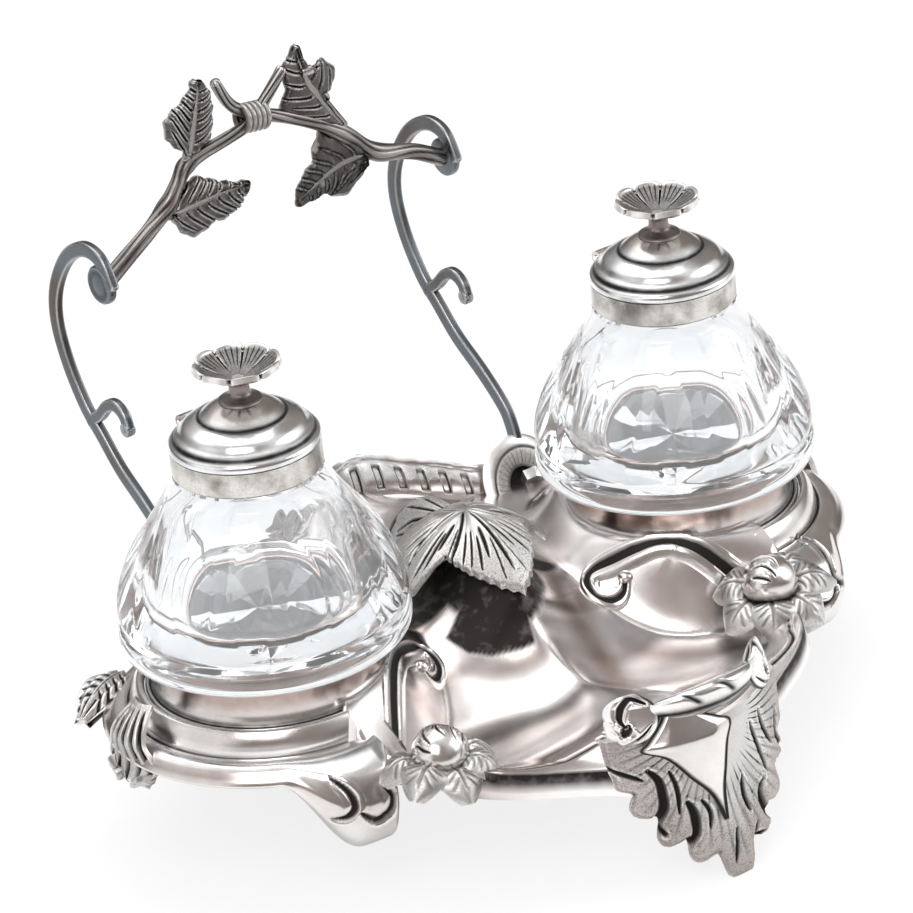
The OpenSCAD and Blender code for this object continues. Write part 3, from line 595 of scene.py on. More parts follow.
WORN = worn_silver_group()
# Each silver finish: values for the worn silver group and the depth of its dots in millimetres
SILVERS = {
    "polished_silver": dict(
        metal=(0.8, 0.79, 0.78), clouded=(0.45, 0.42, 0.4), cloud=0.6, roughness=0.18),
    "tray_silver": dict(
        metal=(0.78, 0.75, 0.74), clouded=(0.55, 0.48, 0.46), cloud=0.35, warm=(0.34, 0.25, 0.22),
        roughness=0.2, grain=0.1),
    "chased_silver": dict(
        metal=(0.58, 0.57, 0.56), clouded=(0.3, 0.29, 0.28), cloud=0.7, roughness=0.3, rub=0.7,
        grain=0.3),
    "dull_silver": dict(
        metal=(0.6, 0.58, 0.55), clouded=(0.17, 0.15, 0.13), cloud=0.95, cloud_scale=150.0,
        roughness=0.22, grain=0.6, depth=0.16),
    "lid_silver": dict(
        metal=(0.8, 0.805, 0.81), clouded=(0.36, 0.36, 0.37), cloud=0.75, cloud_scale=90.0,
        warm=(0.5, 0.44, 0.38), roughness=0.17, depth=0.08),
    "oxidised_silver": dict(
        metal=(0.1, 0.115, 0.13), clouded=(0.075, 0.06, 0.05), cloud=0.9,
        dark=(0.008, 0.008, 0.009), bright=(0.62, 0.62, 0.62), rub=0.8, roughness=0.3, grain=0.5),
    "bark_silver": dict(
        metal=(0.17, 0.15, 0.14), clouded=(0.07, 0.058, 0.052), cloud=0.9, bright=(0.7, 0.68, 0.66),
        rub=0.75, roughness=0.3, grain=0.4),
    "leaf_silver": dict(
        metal=(0.115, 0.108, 0.104), clouded=(0.05, 0.044, 0.041), cloud=0.8,
        dark=(0.012, 0.011, 0.011), bright=(0.62, 0.61, 0.6), rub=0.8, roughness=0.32, grain=0.6),
}
LOOKS = {name: silver(name, **values) for name, values in SILVERS.items()}
LOOKS["cut_glass"] = cut_glass()
COPIES = copies_tree()


# ---- the stand's tray ----

# Along the tray, from front to back: the heights of its crest, its dishes and its edge, then the
# half widths of the crest and of the whole tray
CREST = soft_table([
    (-TRAY_FRONT, 34), (-62, 33.5), (-55, 32), (-50, 30.3), (-43, 27.8), (-36, DISH_Z + 5),
    (-31, DISH_Z + 5), (-26, DISH_Z + 6.6), (-21.5, 30.4), (-18.5, 33.5), (-16, 36.5),
    (-13.5, CREST_Z - 10), (-8.5, CREST_Z - 5.5), (-2.5, CREST_Z - 2.6), (5, CREST_Z - 1),
    (14, CREST_Z), (22, CREST_Z - 1.5), (32, CREST_Z - 5), (40, 44), (TRAY_BACK, 42)
])
DISH = soft_table([
    (-TRAY_FRONT, 21), (-70, 24), (-64, 27), (-59, 28), (-54, 27), (-47, 24.2), (-40, DISH_Z + 1),
    (-33, DISH_Z), (-26, DISH_Z + 0.6), (-20, DISH_Z + 3), (-12, 28), (-5, 30.5), (4, 31), (20, 31),
    (TRAY_BACK, 30)
])
EDGE = soft_table([
    (-TRAY_FRONT, 22), (-70, 25), (-62, 28.5), (-54, 30), (-44, 31), (-34, 32), (-24, 34), (24, 32),
    (TRAY_BACK, 30)
])
CREST_WIDTH = soft_table([
    (-TRAY_FRONT, 14), (-60, 13), (-50, 11), (-40, 8), (-30, 8), (-20, 9), (0, 11), (24, 13),
    (TRAY_BACK, 15)
])
TRAY_WIDTH = soft_table([
    (-TRAY_FRONT, 14), (-73, 17), (-69, 21), (-66.5, 25), (-64, 30), (-61, 36), (-57.5, 41),
    (-54, 44.5), (-46, 49.5), (-38, 55), (-32, 57.5), (-26, 57), (-21, 50), (-16, 43.6), (22, 43.6),
    (27, 47), (34, 50), (41, 49), (TRAY_BACK, 46)
])


def tray_half(y):
    """Half the tray's width; between the wells it ends under the rings."""
    return lookup(y, TRAY_WIDTH)


def tray_height(x, y):
    """A crest along the middle, a dish on each side, and a rise to the edge and to each ring."""
    side = lookup(y, DISH)
    side = side + (lookup(y, EDGE) - side) * smooth(0.68, 1, np.abs(x) / tray_half(y))
    crest = np.exp(-(x * x / lookup(y, CREST_WIDTH) ** 2 + 0.012) ** 0.7)
    plain = side + (lookup(y, CREST) - side) * crest
    near = smooth(0, 1, (RING_FOOT_R + 10 - np.hypot(np.abs(x) - WELL_X, y)) / 11.5)
    short = RING_FOOT_Z + 2 - plain
    plain = plain + 0.5 * (short + np.sqrt(short * short + 6)) * near
    under = smooth(RING_FOOT_R - 1, RING_FOOT_R - 4, np.hypot(np.abs(x) - WELL_X, y))
    return plain + (np.minimum(plain, SEAT_Z - PLUG_H - 5) - plain) * under


# The scroll laid on each side of the tray: angle round the well and distance from the ring's foot
SCROLL = [
    (74.4, 5.4), (68.8, 3.4), (61.4, 1.6), (51.3, 0.2), (41.5, 0.1), (32.6, 1.2), (23.8, 3),
    (15.7, 5.5), (14.2, 7.3), (16.3, 8.7), (20.2, 9.2), (24.6, 8.4), (28.4, 6.6), (28.3, 4.6)
]
# Soft warm patches in the polish, tarnish and painted reflections, in plan: points, half width and
# strength
WARM_PATCHES = [
    ([(17, 3), (12.5, -11), (12.8, -20), (8.6, -34), (1, -50)], 3.4, 0.75),
    ([(24, 8), (19, -6), (13.5, -20), (8.4, -30), (0, -44)], 2.2, 0.5),
    ([(-17, 2), (-20.5, -6), (-22, -14)], 5, 0.6),
    ([(-17, -15), (-10, -19.5), (-2, -22.5)], 1.8, 0.5),
    ([(-44, -51), (-34, -56.5), (-24, -58.5), (-13, -57)], 3.4, 0.6),
    ([(20, -24), (28, -35), (36, -42)], 3, 0.5), ([(-36, -23), (-31, -24), (-29, -32)], 2.4, 0.35),
    ([(14, 14), (22, 20), (26, 30)], 5, 0.5)
]
# The dark reflection in front of the leaf, painted into the tray's colour together with the leaf's
# shade
REFLECTION = [
    (-5.5, -6), (-7, -5), (-16, -8), (-14.2, -13.4), (-10.6, -16.4), (-5, -19.4), (-1.8, -20.6),
    (-0.4, -16.6), (0.4, -11), (0.2, -6)
]
# The crease engraved along the front edge, on one side
FRONT_CREASE = [
    (-43, -49), (-40, -53), (-36.9, -57.4), (-27.7, -60.7), (-18.9, -61), (-13.8, -59.6)
]


def scroll_plan():
    """The scroll's middle line in plan, in mm from the stand's middle."""
    turn, out = np.array(SCROLL).T
    r = RING_FOOT_R + out
    return np.column_stack([WELL_X - r * np.cos(np.radians(turn)), -r * np.sin(np.radians(turn))])


def inside_of(p, corners):
    """Whether each point of p lies inside a polygon."""
    corners = np.asarray(corners, float)
    within = np.zeros(len(p), bool)
    for a, b in zip(corners, np.roll(corners, -1, 0)):
        crosses = (a[1] > p[:, 1]) != (b[1] > p[:, 1])
        at = a[0] + (p[:, 1] - a[1]) * (b[0] - a[0]) / np.where(b[1] == a[1], 1e-9, b[1] - a[1])
        within ^= crosses & (p[:, 0] < at)
    return within


# Where the sheet begins behind the front, how far its edge turns down, and where it doesn't,
# which is beside the wells
TRAY_START = 3.4
TURN_DOWN = 5.6
BESIDE_WELLS = 21


def make_tray():
    """The tray's sheet with its tarnish and painted reflections, crease, painted dark reflection,
    painted shadow round the leaf and painted shade along the front edge, and the curls on it.
    """
    rows, cols = 205, 184
    # The middle columns lie closer together than those near the edge
    inner, inner_half = 0.8, 33.0
    y = column(TRAY_START - TRAY_FRONT, TRAY_BACK, rows)
    half = tray_half(y)
    core = np.minimum(inner_half, inner * half)
    share = row(-1, 1, cols)
    far = np.abs(share)
    outer = core + (far - inner) / (1 - inner) * (half - core)
    x = np.sign(share) * np.where(far < inner, far / inner * core, outer)
    z = tray_height(x, y)
    reach = np.abs(x) / half
    turned_down = TURN_DOWN * smooth(0.955, 1, reach) ** 1.4 * (np.abs(y) >= BESIDE_WELLS)
    relief, dark = engrave(x, y, on_both([(FRONT_CREASE, 0.5, 0.35)]))
    p = np.stack([x.ravel(), np.broadcast_to(y, x.shape).ravel()], 1)
    # Warm patches of tarnish and painted reflection
    haze = np.zeros(x.size)
    for line, width, strength in WARM_PATCHES:
        haze = np.maximum(haze, strength * peak(distance_to(p, curve(line, 4))[0], 0, width))
    leaf = leaf_outline(160)
    # Painted shadow on the tray along the leaf's edge
    past_leaf = np.where(inside_of(p, leaf), 0, distance_to(p, leaf)[0])
    dark = np.maximum(dark, (1 - smooth(0.2, 1.8, past_leaf)).reshape(x.shape) * 0.9)
    # Painted dark reflection and shade in front of the leaf, inside its outline
    depth = distance_to(p, np.array(REFLECTION + REFLECTION[:1], float))[0]
    depth = depth * np.where(inside_of(p, REFLECTION), 1, -1)
    dark = np.maximum(dark, smooth(-0.5, 0.5, depth).reshape(x.shape) * 0.93)
    # Painted shade along the front edge, where the sheet starts to turn down
    rim_shade = smooth(0.95, 0.965, reach) - smooth(0.975, 0.988, reach)
    dark = np.maximum(dark, 0.95 * rim_shade * (y < -40))
    part = sheet(grid_of(x, y, z - turned_down), SHEET, relief, recess=dark,
                 haze=haze.reshape(x.shape))
    add_piece("raised_tray", [part], "stand", ["tray_shell"], "polished_silver", "tray_silver")
    make_curls()


# Across a curl: distance from its middle, height above the tray and darkness
CURL_SECTION = [
    (-2.3, -0.9, 0), (-2, 0.1, 0), (-1.6, 0.8, 0), (-1.1, 1, 0), (-0.75, 0.75, 0.4), (-0.5, 0.2, 1),
    (0, 0.06, 1), (0.5, 0.2, 1), (0.75, 0.75, 0.4), (1.1, 1, 0), (1.6, 0.8, 0), (2, 0.1, 0),
    (2.3, -0.9, 0)
]
CURL_EYE = [(0, -0.8), (1.5, -0.8), (1.7, 0), (1.3, 0.8), (0.6, 1.15), (0, 1.2)]


def make_curls():
    """The grooved scroll laid on each side of the tray, which ends in a round eye."""
    count = 170
    path = even(curve(scroll_plan(), 6), count)
    ahead = unit(np.gradient(path, axis=0))
    aside = np.column_stack([ahead[:, 1], -ahead[:, 0]])
    q, lift, shade = np.array(CURL_SECTION).T
    width = 1 - 0.3 * smooth(0.55, 0.9, column(0, 1, count))
    flat = path[:, None] + aside[:, None] * (q[None] * width)[..., None]
    x, y = flat[..., 0], flat[..., 1]
    z = tray_height(x, y) + lift[None] * (0.8 + 0.2 * width)
    strip = sheet(grid_of(x, y, z), 1.2, recess=shade[None])
    eye = moved(lathe(CURL_EYE, 40), (*path[-1], z[-1, len(q) // 2]))
    add_pairs(("_curl", [strip, eye], "_c_scroll", "polished_silver"))


# The leaf laid over the crest: its reach, as a share of its radius, by degrees from its front
VINE_REACH = soft_table([
    (0, 0.98), (15, 0.87), (24, 0.8), (38, 0.74), (50, 0.67), (62, 0.61), (70, 0.73), (81, 0.96),
    (90, 0.86), (106, 0.78), (121, 0.79), (135, 0.86), (150, 0.97), (160, 1), (170, 0.97),
    (180, 0.72)
], 4)
LEAF_R = 20
LEAF_HUB = (0, 3)
# The main veins on one side, from the hub: points, half width, depth
LEAF_VEINS = [
    ([(0, 1.5), (0.1, -4), (0.2, -9), (0, -12.8)], 0.4, 0.5),
    ([(1, 2.6), (4, -0.6), (7.5, -3), (10.4, -4.6)], 0.5, 0.6),
    ([(2, 4), (8, 4.5), (12.3, 4.8), (16.6, 3.6)], 0.35, 0.45),
    ([(1.2, 4.4), (3.7, 12.4), (5, 16.4), (7.1, 18.9)], 0.35, 0.45)
]
# The fine cuts between them: angle from the front, start and end as shares of the reach, half width
LEAF_CUTS = [
    (6, 0.5, 0.9, 0.25), (13, 0.35, 0.7, 0.5), (22, 0.5, 0.88, 0.4), (30, 0.45, 0.9, 0.3),
    (38, 0.5, 0.92, 0.3), (46, 0.35, 0.8, 0.3), (54, 0.5, 0.95, 0.25), (66, 0.4, 0.85, 0.45),
    (72, 0.5, 0.94, 0.35), (78, 0.4, 0.9, 0.45), (92, 0.45, 0.9, 0.3), (99, 0.4, 0.93, 0.3),
    (107, 0.45, 0.9, 0.3), (115, 0.35, 0.92, 0.28), (124, 0.4, 0.9, 0.28), (132, 0.35, 0.9, 0.3),
    (140, 0.4, 0.9, 0.28), (149, 0.4, 0.9, 0.28), (166, 0.4, 0.9, 0.28), (174, 0.4, 0.85, 0.28)
]


def leaf_reach(degrees):
    """The leaf's reach at an angle from its front, with small teeth along its edge."""
    b = np.where(degrees > 180, 360 - degrees, degrees)
    teeth = np.abs(((b / 7.2) % 1) - 0.5) * 2
    return LEAF_R * lookup(b, VINE_REACH) * (0.985 + 0.022 * teeth)


def leaf_point(degrees, r):
    """The point of the leaf at an angle from its front and a distance from its hub."""
    a = np.radians(degrees)
    return LEAF_HUB[0] - r * np.sin(a), LEAF_HUB[1] - r * np.cos(a)


def leaf_outline(count):
    """Points round the edge of the leaf, seen from above."""
    a = np.linspace(0, 360, count)
    return np.column_stack(leaf_point(a, leaf_reach(a % 360)))


def make_centre_leaf():
    """The vine leaf laid over the crest, with its veins and fine cuts."""
    rings, turns = 66, 432
    a = row(0, 360, turns, endpoint=False)
    k = column(0, 1, rings)
    r = k * leaf_reach(a)
    x, y = leaf_point(a, r)
    z = np.maximum(tray_height(x, y) + 1.2, CREST_Z + 1.6 - 0.034 * r * r)
    z = z + 0.3 * k * np.cos(np.radians(a * 9))
    strokes = []
    for s in (1, -1):
        strokes += [([(s * px, py) for px, py in line], w, d) for line, w, d in LEAF_VEINS]
        for angle, start, end, w in LEAF_CUTS:
            q = np.linspace(start, end, 4)
            px, py = leaf_point(angle + 9 * (q - start), leaf_reach(np.array(angle)) * q)
            strokes.append((np.column_stack([-s * px, py]), w, 0.4))
    relief, dark = engrave(x, y, strokes)
    relief = relief - 0.9 * smooth(0.93, 1, k) ** 2
    part = sheet(grid_of(x, y, z), 1.4, relief, wrap=True, recess=dark,
                 chased=(1 - dark) * (0.45 + 0.5 * smooth(0.5, 0.9, k)))
    add_piece("centre_vine_leaf", [part], "stand", ["centre_leaf"], "chased_silver")


# The back rim: half its length, its foot at the ends and how much higher that is in the middle,
# its top at the ends, the pitch of its panels and the wave of its top
GALLERY_HALF = 38
GALLERY_FOOT, FOOT_RISE = 29, 12
GALLERY_END = 36
PANEL_PITCH = 5.85
TOP_WAVE = 0.6


def make_gallery():
    """The fluted rim that stands at the back of the tray."""
    cols, rows = 420, 26
    x = row(-GALLERY_HALF, GALLERY_HALF, cols)
    k = column(0, 1, rows)
    hump = np.cos(np.radians(90 * x / GALLERY_HALF)) ** 2
    wave = np.cos(x * 2 * np.pi / PANEL_PITCH)
    low = GALLERY_FOOT + FOOT_RISE * hump
    top = GALLERY_END + (GALLERY_Z - GALLERY_END - TOP_WAVE) * hump
    top = top + TOP_WAVE * np.cos(x * 2 * np.pi / 25)
    y = TRAY_BACK - 6 + 3.6 * k * k + 0.08 * k * wave
    panel = smooth(0.25, 0.7, wave) * smooth(0.15, 0.25, k) * (1 - smooth(0.68, 0.78, k))
    outline = np.clip(4 * panel * (1 - panel), 0, 1)
    part = sheet(grid_of(x, y, low + (top - low) * k), SHEET,
                 0.5 * smooth(0.84, 0.95, k) - 0.45 * panel,
                 recess=0.85 * outline, haze=0.4 * (1 - k))
    add_piece("back_rim", [part], "stand", ["back_gallery"], "polished_silver")


# ---- wells ----

def make_wells():
    """The ring that carries each bottle, down to its foot on the tray."""
    r, foot, floor = SEAT_R, RING_FOOT_Z, SEAT_Z - PLUG_H - 0.2
    outer = curve([(r - 0.1, SEAT_Z + 0.02), (r + 0.35, SEAT_Z - 0.3), (r + 0.6, SEAT_Z - 1.4),
                   (r + 0.5, SEAT_Z - 4.6), (r + 0.9, SEAT_Z - 7.4), (r + 1.8, foot + 0.1),
                   (r + 2.5, foot + 0.2), (RING_FOOT_R, foot - 0.5),
                   (RING_FOOT_R - 0.1, foot - 1.6)], 6)
    inner = [(r + 1.6, foot - 1.6), (r - 0.2, foot - 0.3), (r - 0.5, floor - SHEET),
             (0, floor - SHEET), (0, floor)]
    ring = np.vstack([[(r - SEAT_W, floor), (r - SEAT_W, SEAT_Z)], outer, inner])
    # Painted warm reflection on the ring's upper part
    warm = smooth(SEAT_Z - 9, SEAT_Z - 4, ring[:, 1]) * 0.85
    # Painted shade at the ring's foot on the tray
    shade = 0.75 * peak(ring[:, 1], foot + 0.5, 0.5) * (ring[:, 0] > r + 0.5)
    # Painted shade on the floor under the glass
    shade[[0, -1]] = 0.9
    part = lathe(ring, 220, haze=warm, recess=shade)
    for name, s in SIDES:
        add_piece(name + "_seat_ring", [at_well(part, s)], "stand", [name + "_well_ring"],
                  "polished_silver")


def apron_section(low):
    """Rows of share of the way from the ring's foot to the rim and height, then the same on the
    knuckle as distance beyond the rim and height; low is the knuckle's lowest point."""
    foot, dip, out = RING_FOOT_Z, APRON_Z + 3.4, KNUCKLE_OUT
    return curve([(0.01, foot - 0.4, -9.4, foot - 0.4), (0.06, foot + 0.8, -9, foot + 0.8),
                  (0.17, foot + 0.75, -7.9, foot + 0.75), (0.29, foot - 0.9, -6.8, foot - 0.9),
                  (0.35, foot - 2.7, -6.1, foot - 2.7), (0.396, dip, -5.7, dip - 0.1),
                  (0.47, dip + 0.55, -4.8, dip + 0.6), (0.667, dip + 0.3, -1, dip + 0.3),
                  (0.78, dip - 0.3, 0.55 * out, dip - 2), (0.87, dip - 1.1, 0.88 * out, dip - 6.5),
                  (0.95, APRON_Z + 1.5, out, (dip + low) / 2),
                  (1, APRON_Z + 0.6, 0.9 * out, low + 4),
                  (0.985, APRON_Z + 0.1, 0.6 * out, low + 1.2),
                  (0.93, APRON_Z - 0.1, 0.2 * out, low)], 9)


# How far a degree of turn reaches at the knuckle's engraved face
MM_PER_DEGREE = 0.73
# The two curls engraved on a knuckle: across it, and up from its lowest point
KNUCKLE_CURLS = [
    ([(-9, 17.5), (-6.4, 15), (-5.4, 12), (-7.3, 9.6), (-10.4, 9)], 0.95, 0.9),
    ([(-4.4, 10), (-1.6, 7.6), (1.8, 8.6), (3, 11.6), (1.8, 13.8)], 1, 0.9)
]


def make_aprons():
    """Outside each well a band, a groove and a sloping rail run round and end in a knuckle."""
    wide = APRON_R - RING_FOOT_R
    # Degrees round the well from its outer side; the steps are finer along the knuckle
    turn = np.concatenate([np.linspace(-94, -48.5, 110), np.linspace(-48, 120, 130)])[:, None]
    knuckle = np.where(turn > KNUCKLE_AT, 1 - smooth(5, 28, turn - KNUCKLE_AT),
                       1 - smooth(4, 13, KNUCKLE_AT - turn))
    near = smooth(0.4, 0.9, knuckle)
    a = np.radians(turn)
    for name, s in SIDES:
        low = KNUCKLE_Z[name]
        section = apron_section(low)
        share = row(0, 13, len(section))
        part_way, rail_z, beyond, knuckle_z = section.T[:, None]
        r = RING_FOOT_R + wide * part_way
        r = r + (APRON_R + beyond - r) * knuckle
        z = rail_z + (knuckle_z - rail_z) * knuckle
        across = (KNUCKLE_AT - turn) * MM_PER_DEGREE
        curls = [([(x, low + up) for x, up in line], w, d) for line, w, d in KNUCKLE_CURLS]
        relief, dark = engrave(across, z, curls)
        # Dark seams, oxide in the groove and painted shade where the apron meets the ring's foot,
        # and warm bands of painted reflection, by the point of the section where they lie
        seams = peak(share, 4.95, 0.3) + 0.9 * peak(share, 0.1, 0.5)
        reflected_bands = 0.55 * peak(share, 9.6, 1.3) + 0.25 * peak(share, 3, 0.8)
        part = sheet(grid_of(WELL_X + r * np.cos(a), r * np.sin(a), z), 1.4, relief * near,
                     recess=np.clip(dark * near + seams, 0, 1), haze=reflected_bands * (1 - 0.5 * knuckle))
        add_piece(name + "_well_apron", [mirrored(part, s)], "stand",
                  [name + "_apron", name + "_front_volute"], "polished_silver")


# ---- bottles ----

# The flutes cut in the bell: their number, the cutting wheel's radius, depth and tilt
FLUTES = 14
FLUTE_R = 9
FLUTE_D = 1.4
FLUTE_TILT = math.radians(28)
BELL_Z = SEAT_Z + FLANGE_H
BELL_H = NECK_Z - COLLAR_H - BELL_Z
# The bell's outline: share of its height, and share of the way from the neck to the flange
BELL = [
    (0, 0.945), (0.04, 0.963), (0.09, 0.98), (0.18, 0.963), (0.255, 0.92), (0.335, 0.865),
    (0.415, 0.79), (0.5, 0.693), (0.58, 0.589), (0.665, 0.454), (0.75, 0.331), (0.83, 0.227),
    (0.91, 0.141), (0.985, 0.08)
]
# Points of the star cut in the foot, and its depth
STAR = 6
STAR_D = 2.5


def flute_cut(r, z, a):
    """How far the cutting wheel takes the bell's surface in."""
    step = 2 * np.pi / FLUTES
    turn = (a + step / 2) % step - step / 2
    x, y = r * np.cos(turn), r * np.sin(turn)
    co, si = math.cos(FLUTE_TILT), math.sin(FLUTE_TILT)
    at_r = NECK_R + (FLANGE_R - NECK_R) * 0.75 + (FLUTE_R - FLUTE_D) * co
    at_z = BELL_Z + BELL_H * 0.45 + (FLUTE_R - FLUTE_D) * si
    q = (x - at_r) * co + (z - at_z) * si
    inside = ((z > BELL_Z + 0.4) & (z < NECK_Z - COLLAR_H - 1) & (np.abs(y) < FLUTE_R)
              & (r > INK_R + 1.5))
    reach = -np.sqrt(np.maximum(FLUTE_R ** 2 - y ** 2, 0)) - q
    return np.where(inside & (reach < 0) & (q < 0), 0.45 * np.maximum(reach, -FLUTE_D * 1.1) / co,
                    0)


def make_glass():
    """Each bottle: flange, fluted bell, neck, ink space and a star under the foot."""
    bell = curve([(NECK_R + (FLANGE_R - NECK_R) * w, BELL_Z + BELL_H * h) for h, w in BELL], 6)
    flange = curve([(FLANGE_R - 2.2, SEAT_Z), (FLANGE_R - 0.7, SEAT_Z + 0.5),
                    (FLANGE_R, SEAT_Z + 2.4), (FLANGE_R - 0.25, BELL_Z - 0.9),
                    (FLANGE_R - 1.2, BELL_Z - 0.1)], 5)
    base = [(k * PLUG_R, SEAT_Z - PLUG_H) for k in np.linspace(0, 1, 26)]
    hollow = curve([(MOUTH_R, NECK_Z - 7.6), (INK_R - 4.5, NECK_Z - 11), (INK_R - 1, NECK_Z - 15.5),
                    (INK_R + 2, NECK_Z - 22), (INK_R + 3.5, SEAT_Z + 12),
                    (INK_R + 2.5, SEAT_Z + 7.6), (INK_R - 1.5, SEAT_Z + 5.8), (0, SEAT_Z + 5.4)], 5)
    neck = [(NECK_R, NECK_Z - COLLAR_H), (NECK_R, NECK_Z), (MOUTH_R, NECK_Z)]
    outline = np.vstack([base, [(PLUG_R, SEAT_Z)], flange, bell, neck, hollow])
    cut = np.zeros(len(outline), bool)
    cut[len(base):len(base) + 1 + len(flange) + len(bell)] = True
    starred = np.arange(len(outline)) < len(base)

    def swell(r, z, a):
        return np.where(cut, flute_cut(r, z, a), 0)

    def star(r, a):
        ray = np.abs((a * STAR / (2 * np.pi)) % 1 - 0.5) * 2
        return np.where(starred, STAR_D * ray * (r / PLUG_R) * smooth(1, 0.9, r / PLUG_R), 0)

    part = lathe(outline, 30 * FLUTES, swell, star)
    for name, s in SIDES:
        add_piece(name + "_bottle", [at_well(part, s)], name + "_bottle", [name + "_glass"],
                  "cut_glass", sharp=25)


# The lid's outside, inside and stem: distance in from the collar's edge, or radius, and height
LID_DOME = [
    (1.2, 0), (0, 0.02), (-0.15, 0.6), (0.1, 1.4), (0.8, 2), (1.3, 0.3 * LID_H),
    (2.2, 0.38 * LID_H), (3.4, 0.52 * LID_H), (5.4, 0.64 * LID_H), (6.4, 0.67 * LID_H),
    (6.9, 0.72 * LID_H), (8.8, 0.88 * LID_H), (11, LID_H - 0.02), (12, LID_H)
]
LID_UNDER = [
    (COLLAR_R, LID_H), (COLLAR_R, LID_H - 1), (11.2, LID_H - 1), (9.4, 0.88 * LID_H - 1),
    (7.4, 0.69 * LID_H - 1), (4.2, 0.5 * LID_H - 1), (2, 0.25 * LID_H - 0.3)
]
LID_STEM = [
    (4.5, 0), (4.6, 0.25), (4.2, 0.6), (3.4, 0.95), (2.4, 1.6), (2.1, 2.8), (2.2, 4), (2.7, STEM_H)
]


def make_lids():
    """Each lid with its half of the hinge, and the stem that stands on it."""
    dome, under = ([(COLLAR_R - inward, LID_Z + up) for inward, up in line]
                   for line in (LID_DOME, LID_UNDER))
    dome = curve(dome, 6)
    outline = np.vstack([dome, under])
    outside = np.arange(len(outline)) < len(dome)
    r = outline[:, 0]
    steps = np.maximum(peak(r, COLLAR_R - 1, 0.45), peak(r, COLLAR_R - 6.5, 0.55)) * outside
    haze = 0.55 * (1 - smooth(COLLAR_R - 8.6, COLLAR_R - 7, r)) * outside
    lid = lathe(outline, 180, recess=0.95 * steps, haze=haze)
    w = KNUCKLE_W / 2
    knuckle = along_x(lathe([(HINGE_PIN_R, -w), (KNUCKLE_R, -w), (KNUCKLE_R, w), (HINGE_PIN_R, w)],
                            40))
    knuckle = moved(knuckle, (0, HINGE_Y, NECK_Z))
    stem = np.vstack([[(0, 0)], curve(LID_STEM, 6), [(0, STEM_H)]])
    stem = moved(lathe(stem, 64, haze=0.75, recess=0.45), (0, 0, LID_TOP))
    for name, s in SIDES:
        # The tab that joins the lid to its knuckle
        tab = sheet(grid_of(s * WELL_X + row(-w, w, 2), column(COLLAR_R - 1, HINGE_Y - 0.55, 2),
                            LID_Z + 1.3), 1.2)
        add_piece(name + "_stepped_lid", [at_well(lid, s), at_well(knuckle, s), tab],
                  name + "_lid", [name + "_lid"], "polished_silver", "lid_silver", sharp=35)
        add_piece(name + "_lid_stem", [at_well(stem, s)], name + "_lid",
                  [name + "_finial_stem"], "polished_silver")


def make_cups():
    """The cup on each lid: petals pressed from sheet, with a rolled and notched rim."""
    rows, cols, petals, root_r = 44, 320, 8, 1.4
    a = row(0, 2 * np.pi, cols, endpoint=False)
    k = column(0, 1, rows)
    between = np.sin(a * petals / 2)
    fold = np.abs(between) ** 0.5
    notch = 0.9 * peak(between, 0, 0.16) * smooth(0.8, 1, k)
    r = root_r + (CUP_R - root_r) * k * (1 - 0.05 * k * (1 - fold)) - notch
    r = r * smooth(-0.2, 0.12, k)
    z = LID_TOP + STEM_H + (CUP_H - STEM_H) * k ** 1.5 + 0.7 * k * fold - 0.5 * smooth(0.9, 1, k)
    rays = peak(between, 0, 0.13) * smooth(0.2, 0.5, k)
    lines = (0.5 * smooth(0.5, 0.95, np.cos(a * petals * 5)) * smooth(0.25, 0.5, k)
             * (1 - smooth(0.8, 0.9, k)))
    relief = 0.35 * smooth(0.84, 0.94, k) - 0.25 * rays - 0.12 * lines
    notches = np.exp(-(between / 0.24) ** 4) * smooth(0.86, 0.95, k)
    inner = 1 - smooth(0.8, 0.88, k)
    dark = np.clip(np.maximum(np.maximum(rays, lines), notches) + 0.5 * inner, 0, 1)
    rim = smooth(0.86, 0.93, k) * (1 - notches)
    for name, s in SIDES:
        grid = grid_of(s * WELL_X + r * np.cos(a), r * np.sin(a), z)[:, ::-1]
        part = sheet(grid, 0.8, relief[:, ::-1], wrap=True, recess=dark[:, ::-1],
                     edge=rim[:, ::-1], chased=inner)
        add_piece(name + "_cup", [part], name + "_lid", [name + "_finial_cup"], "chased_silver")


def make_collars():
    """The collars and hinge pins keep the CAD's shape and take a finish."""
    for name, _ in SIDES:
        for part, look in (("_neck_collar", "dull_silver"), ("_hinge_pin", "polished_silver")):
            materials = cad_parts[name + part].data.materials
            if not materials:
                materials.append(LOOKS[look])
            for k in range(len(materials)):
                materials[k] = LOOKS[look]


# ---- front foot and its ornaments ----

def foot_y(x, z):
    """The front foot's bulged face."""
    back = lookup(z, [(0, 0), (6, 1.6), (14, 3), (24, 4.6), (32, 6), (40, 9)])
    return back - FOOT_FRONT + x * x * 0.017


# The fan's reach, as a share of its height, by degrees to either side of straight down
FOOT_REACH = soft_table([
    (0, 1), (5, 0.99), (9, 0.84), (17, 0.885), (21, 0.87), (25, 0.76), (31, 0.83), (36, 0.82),
    (41, 0.7), (48, 0.755), (53, 0.75), (58, 0.67), (64, 0.72), (70, 0.7), (90, 0.68)
], 4)
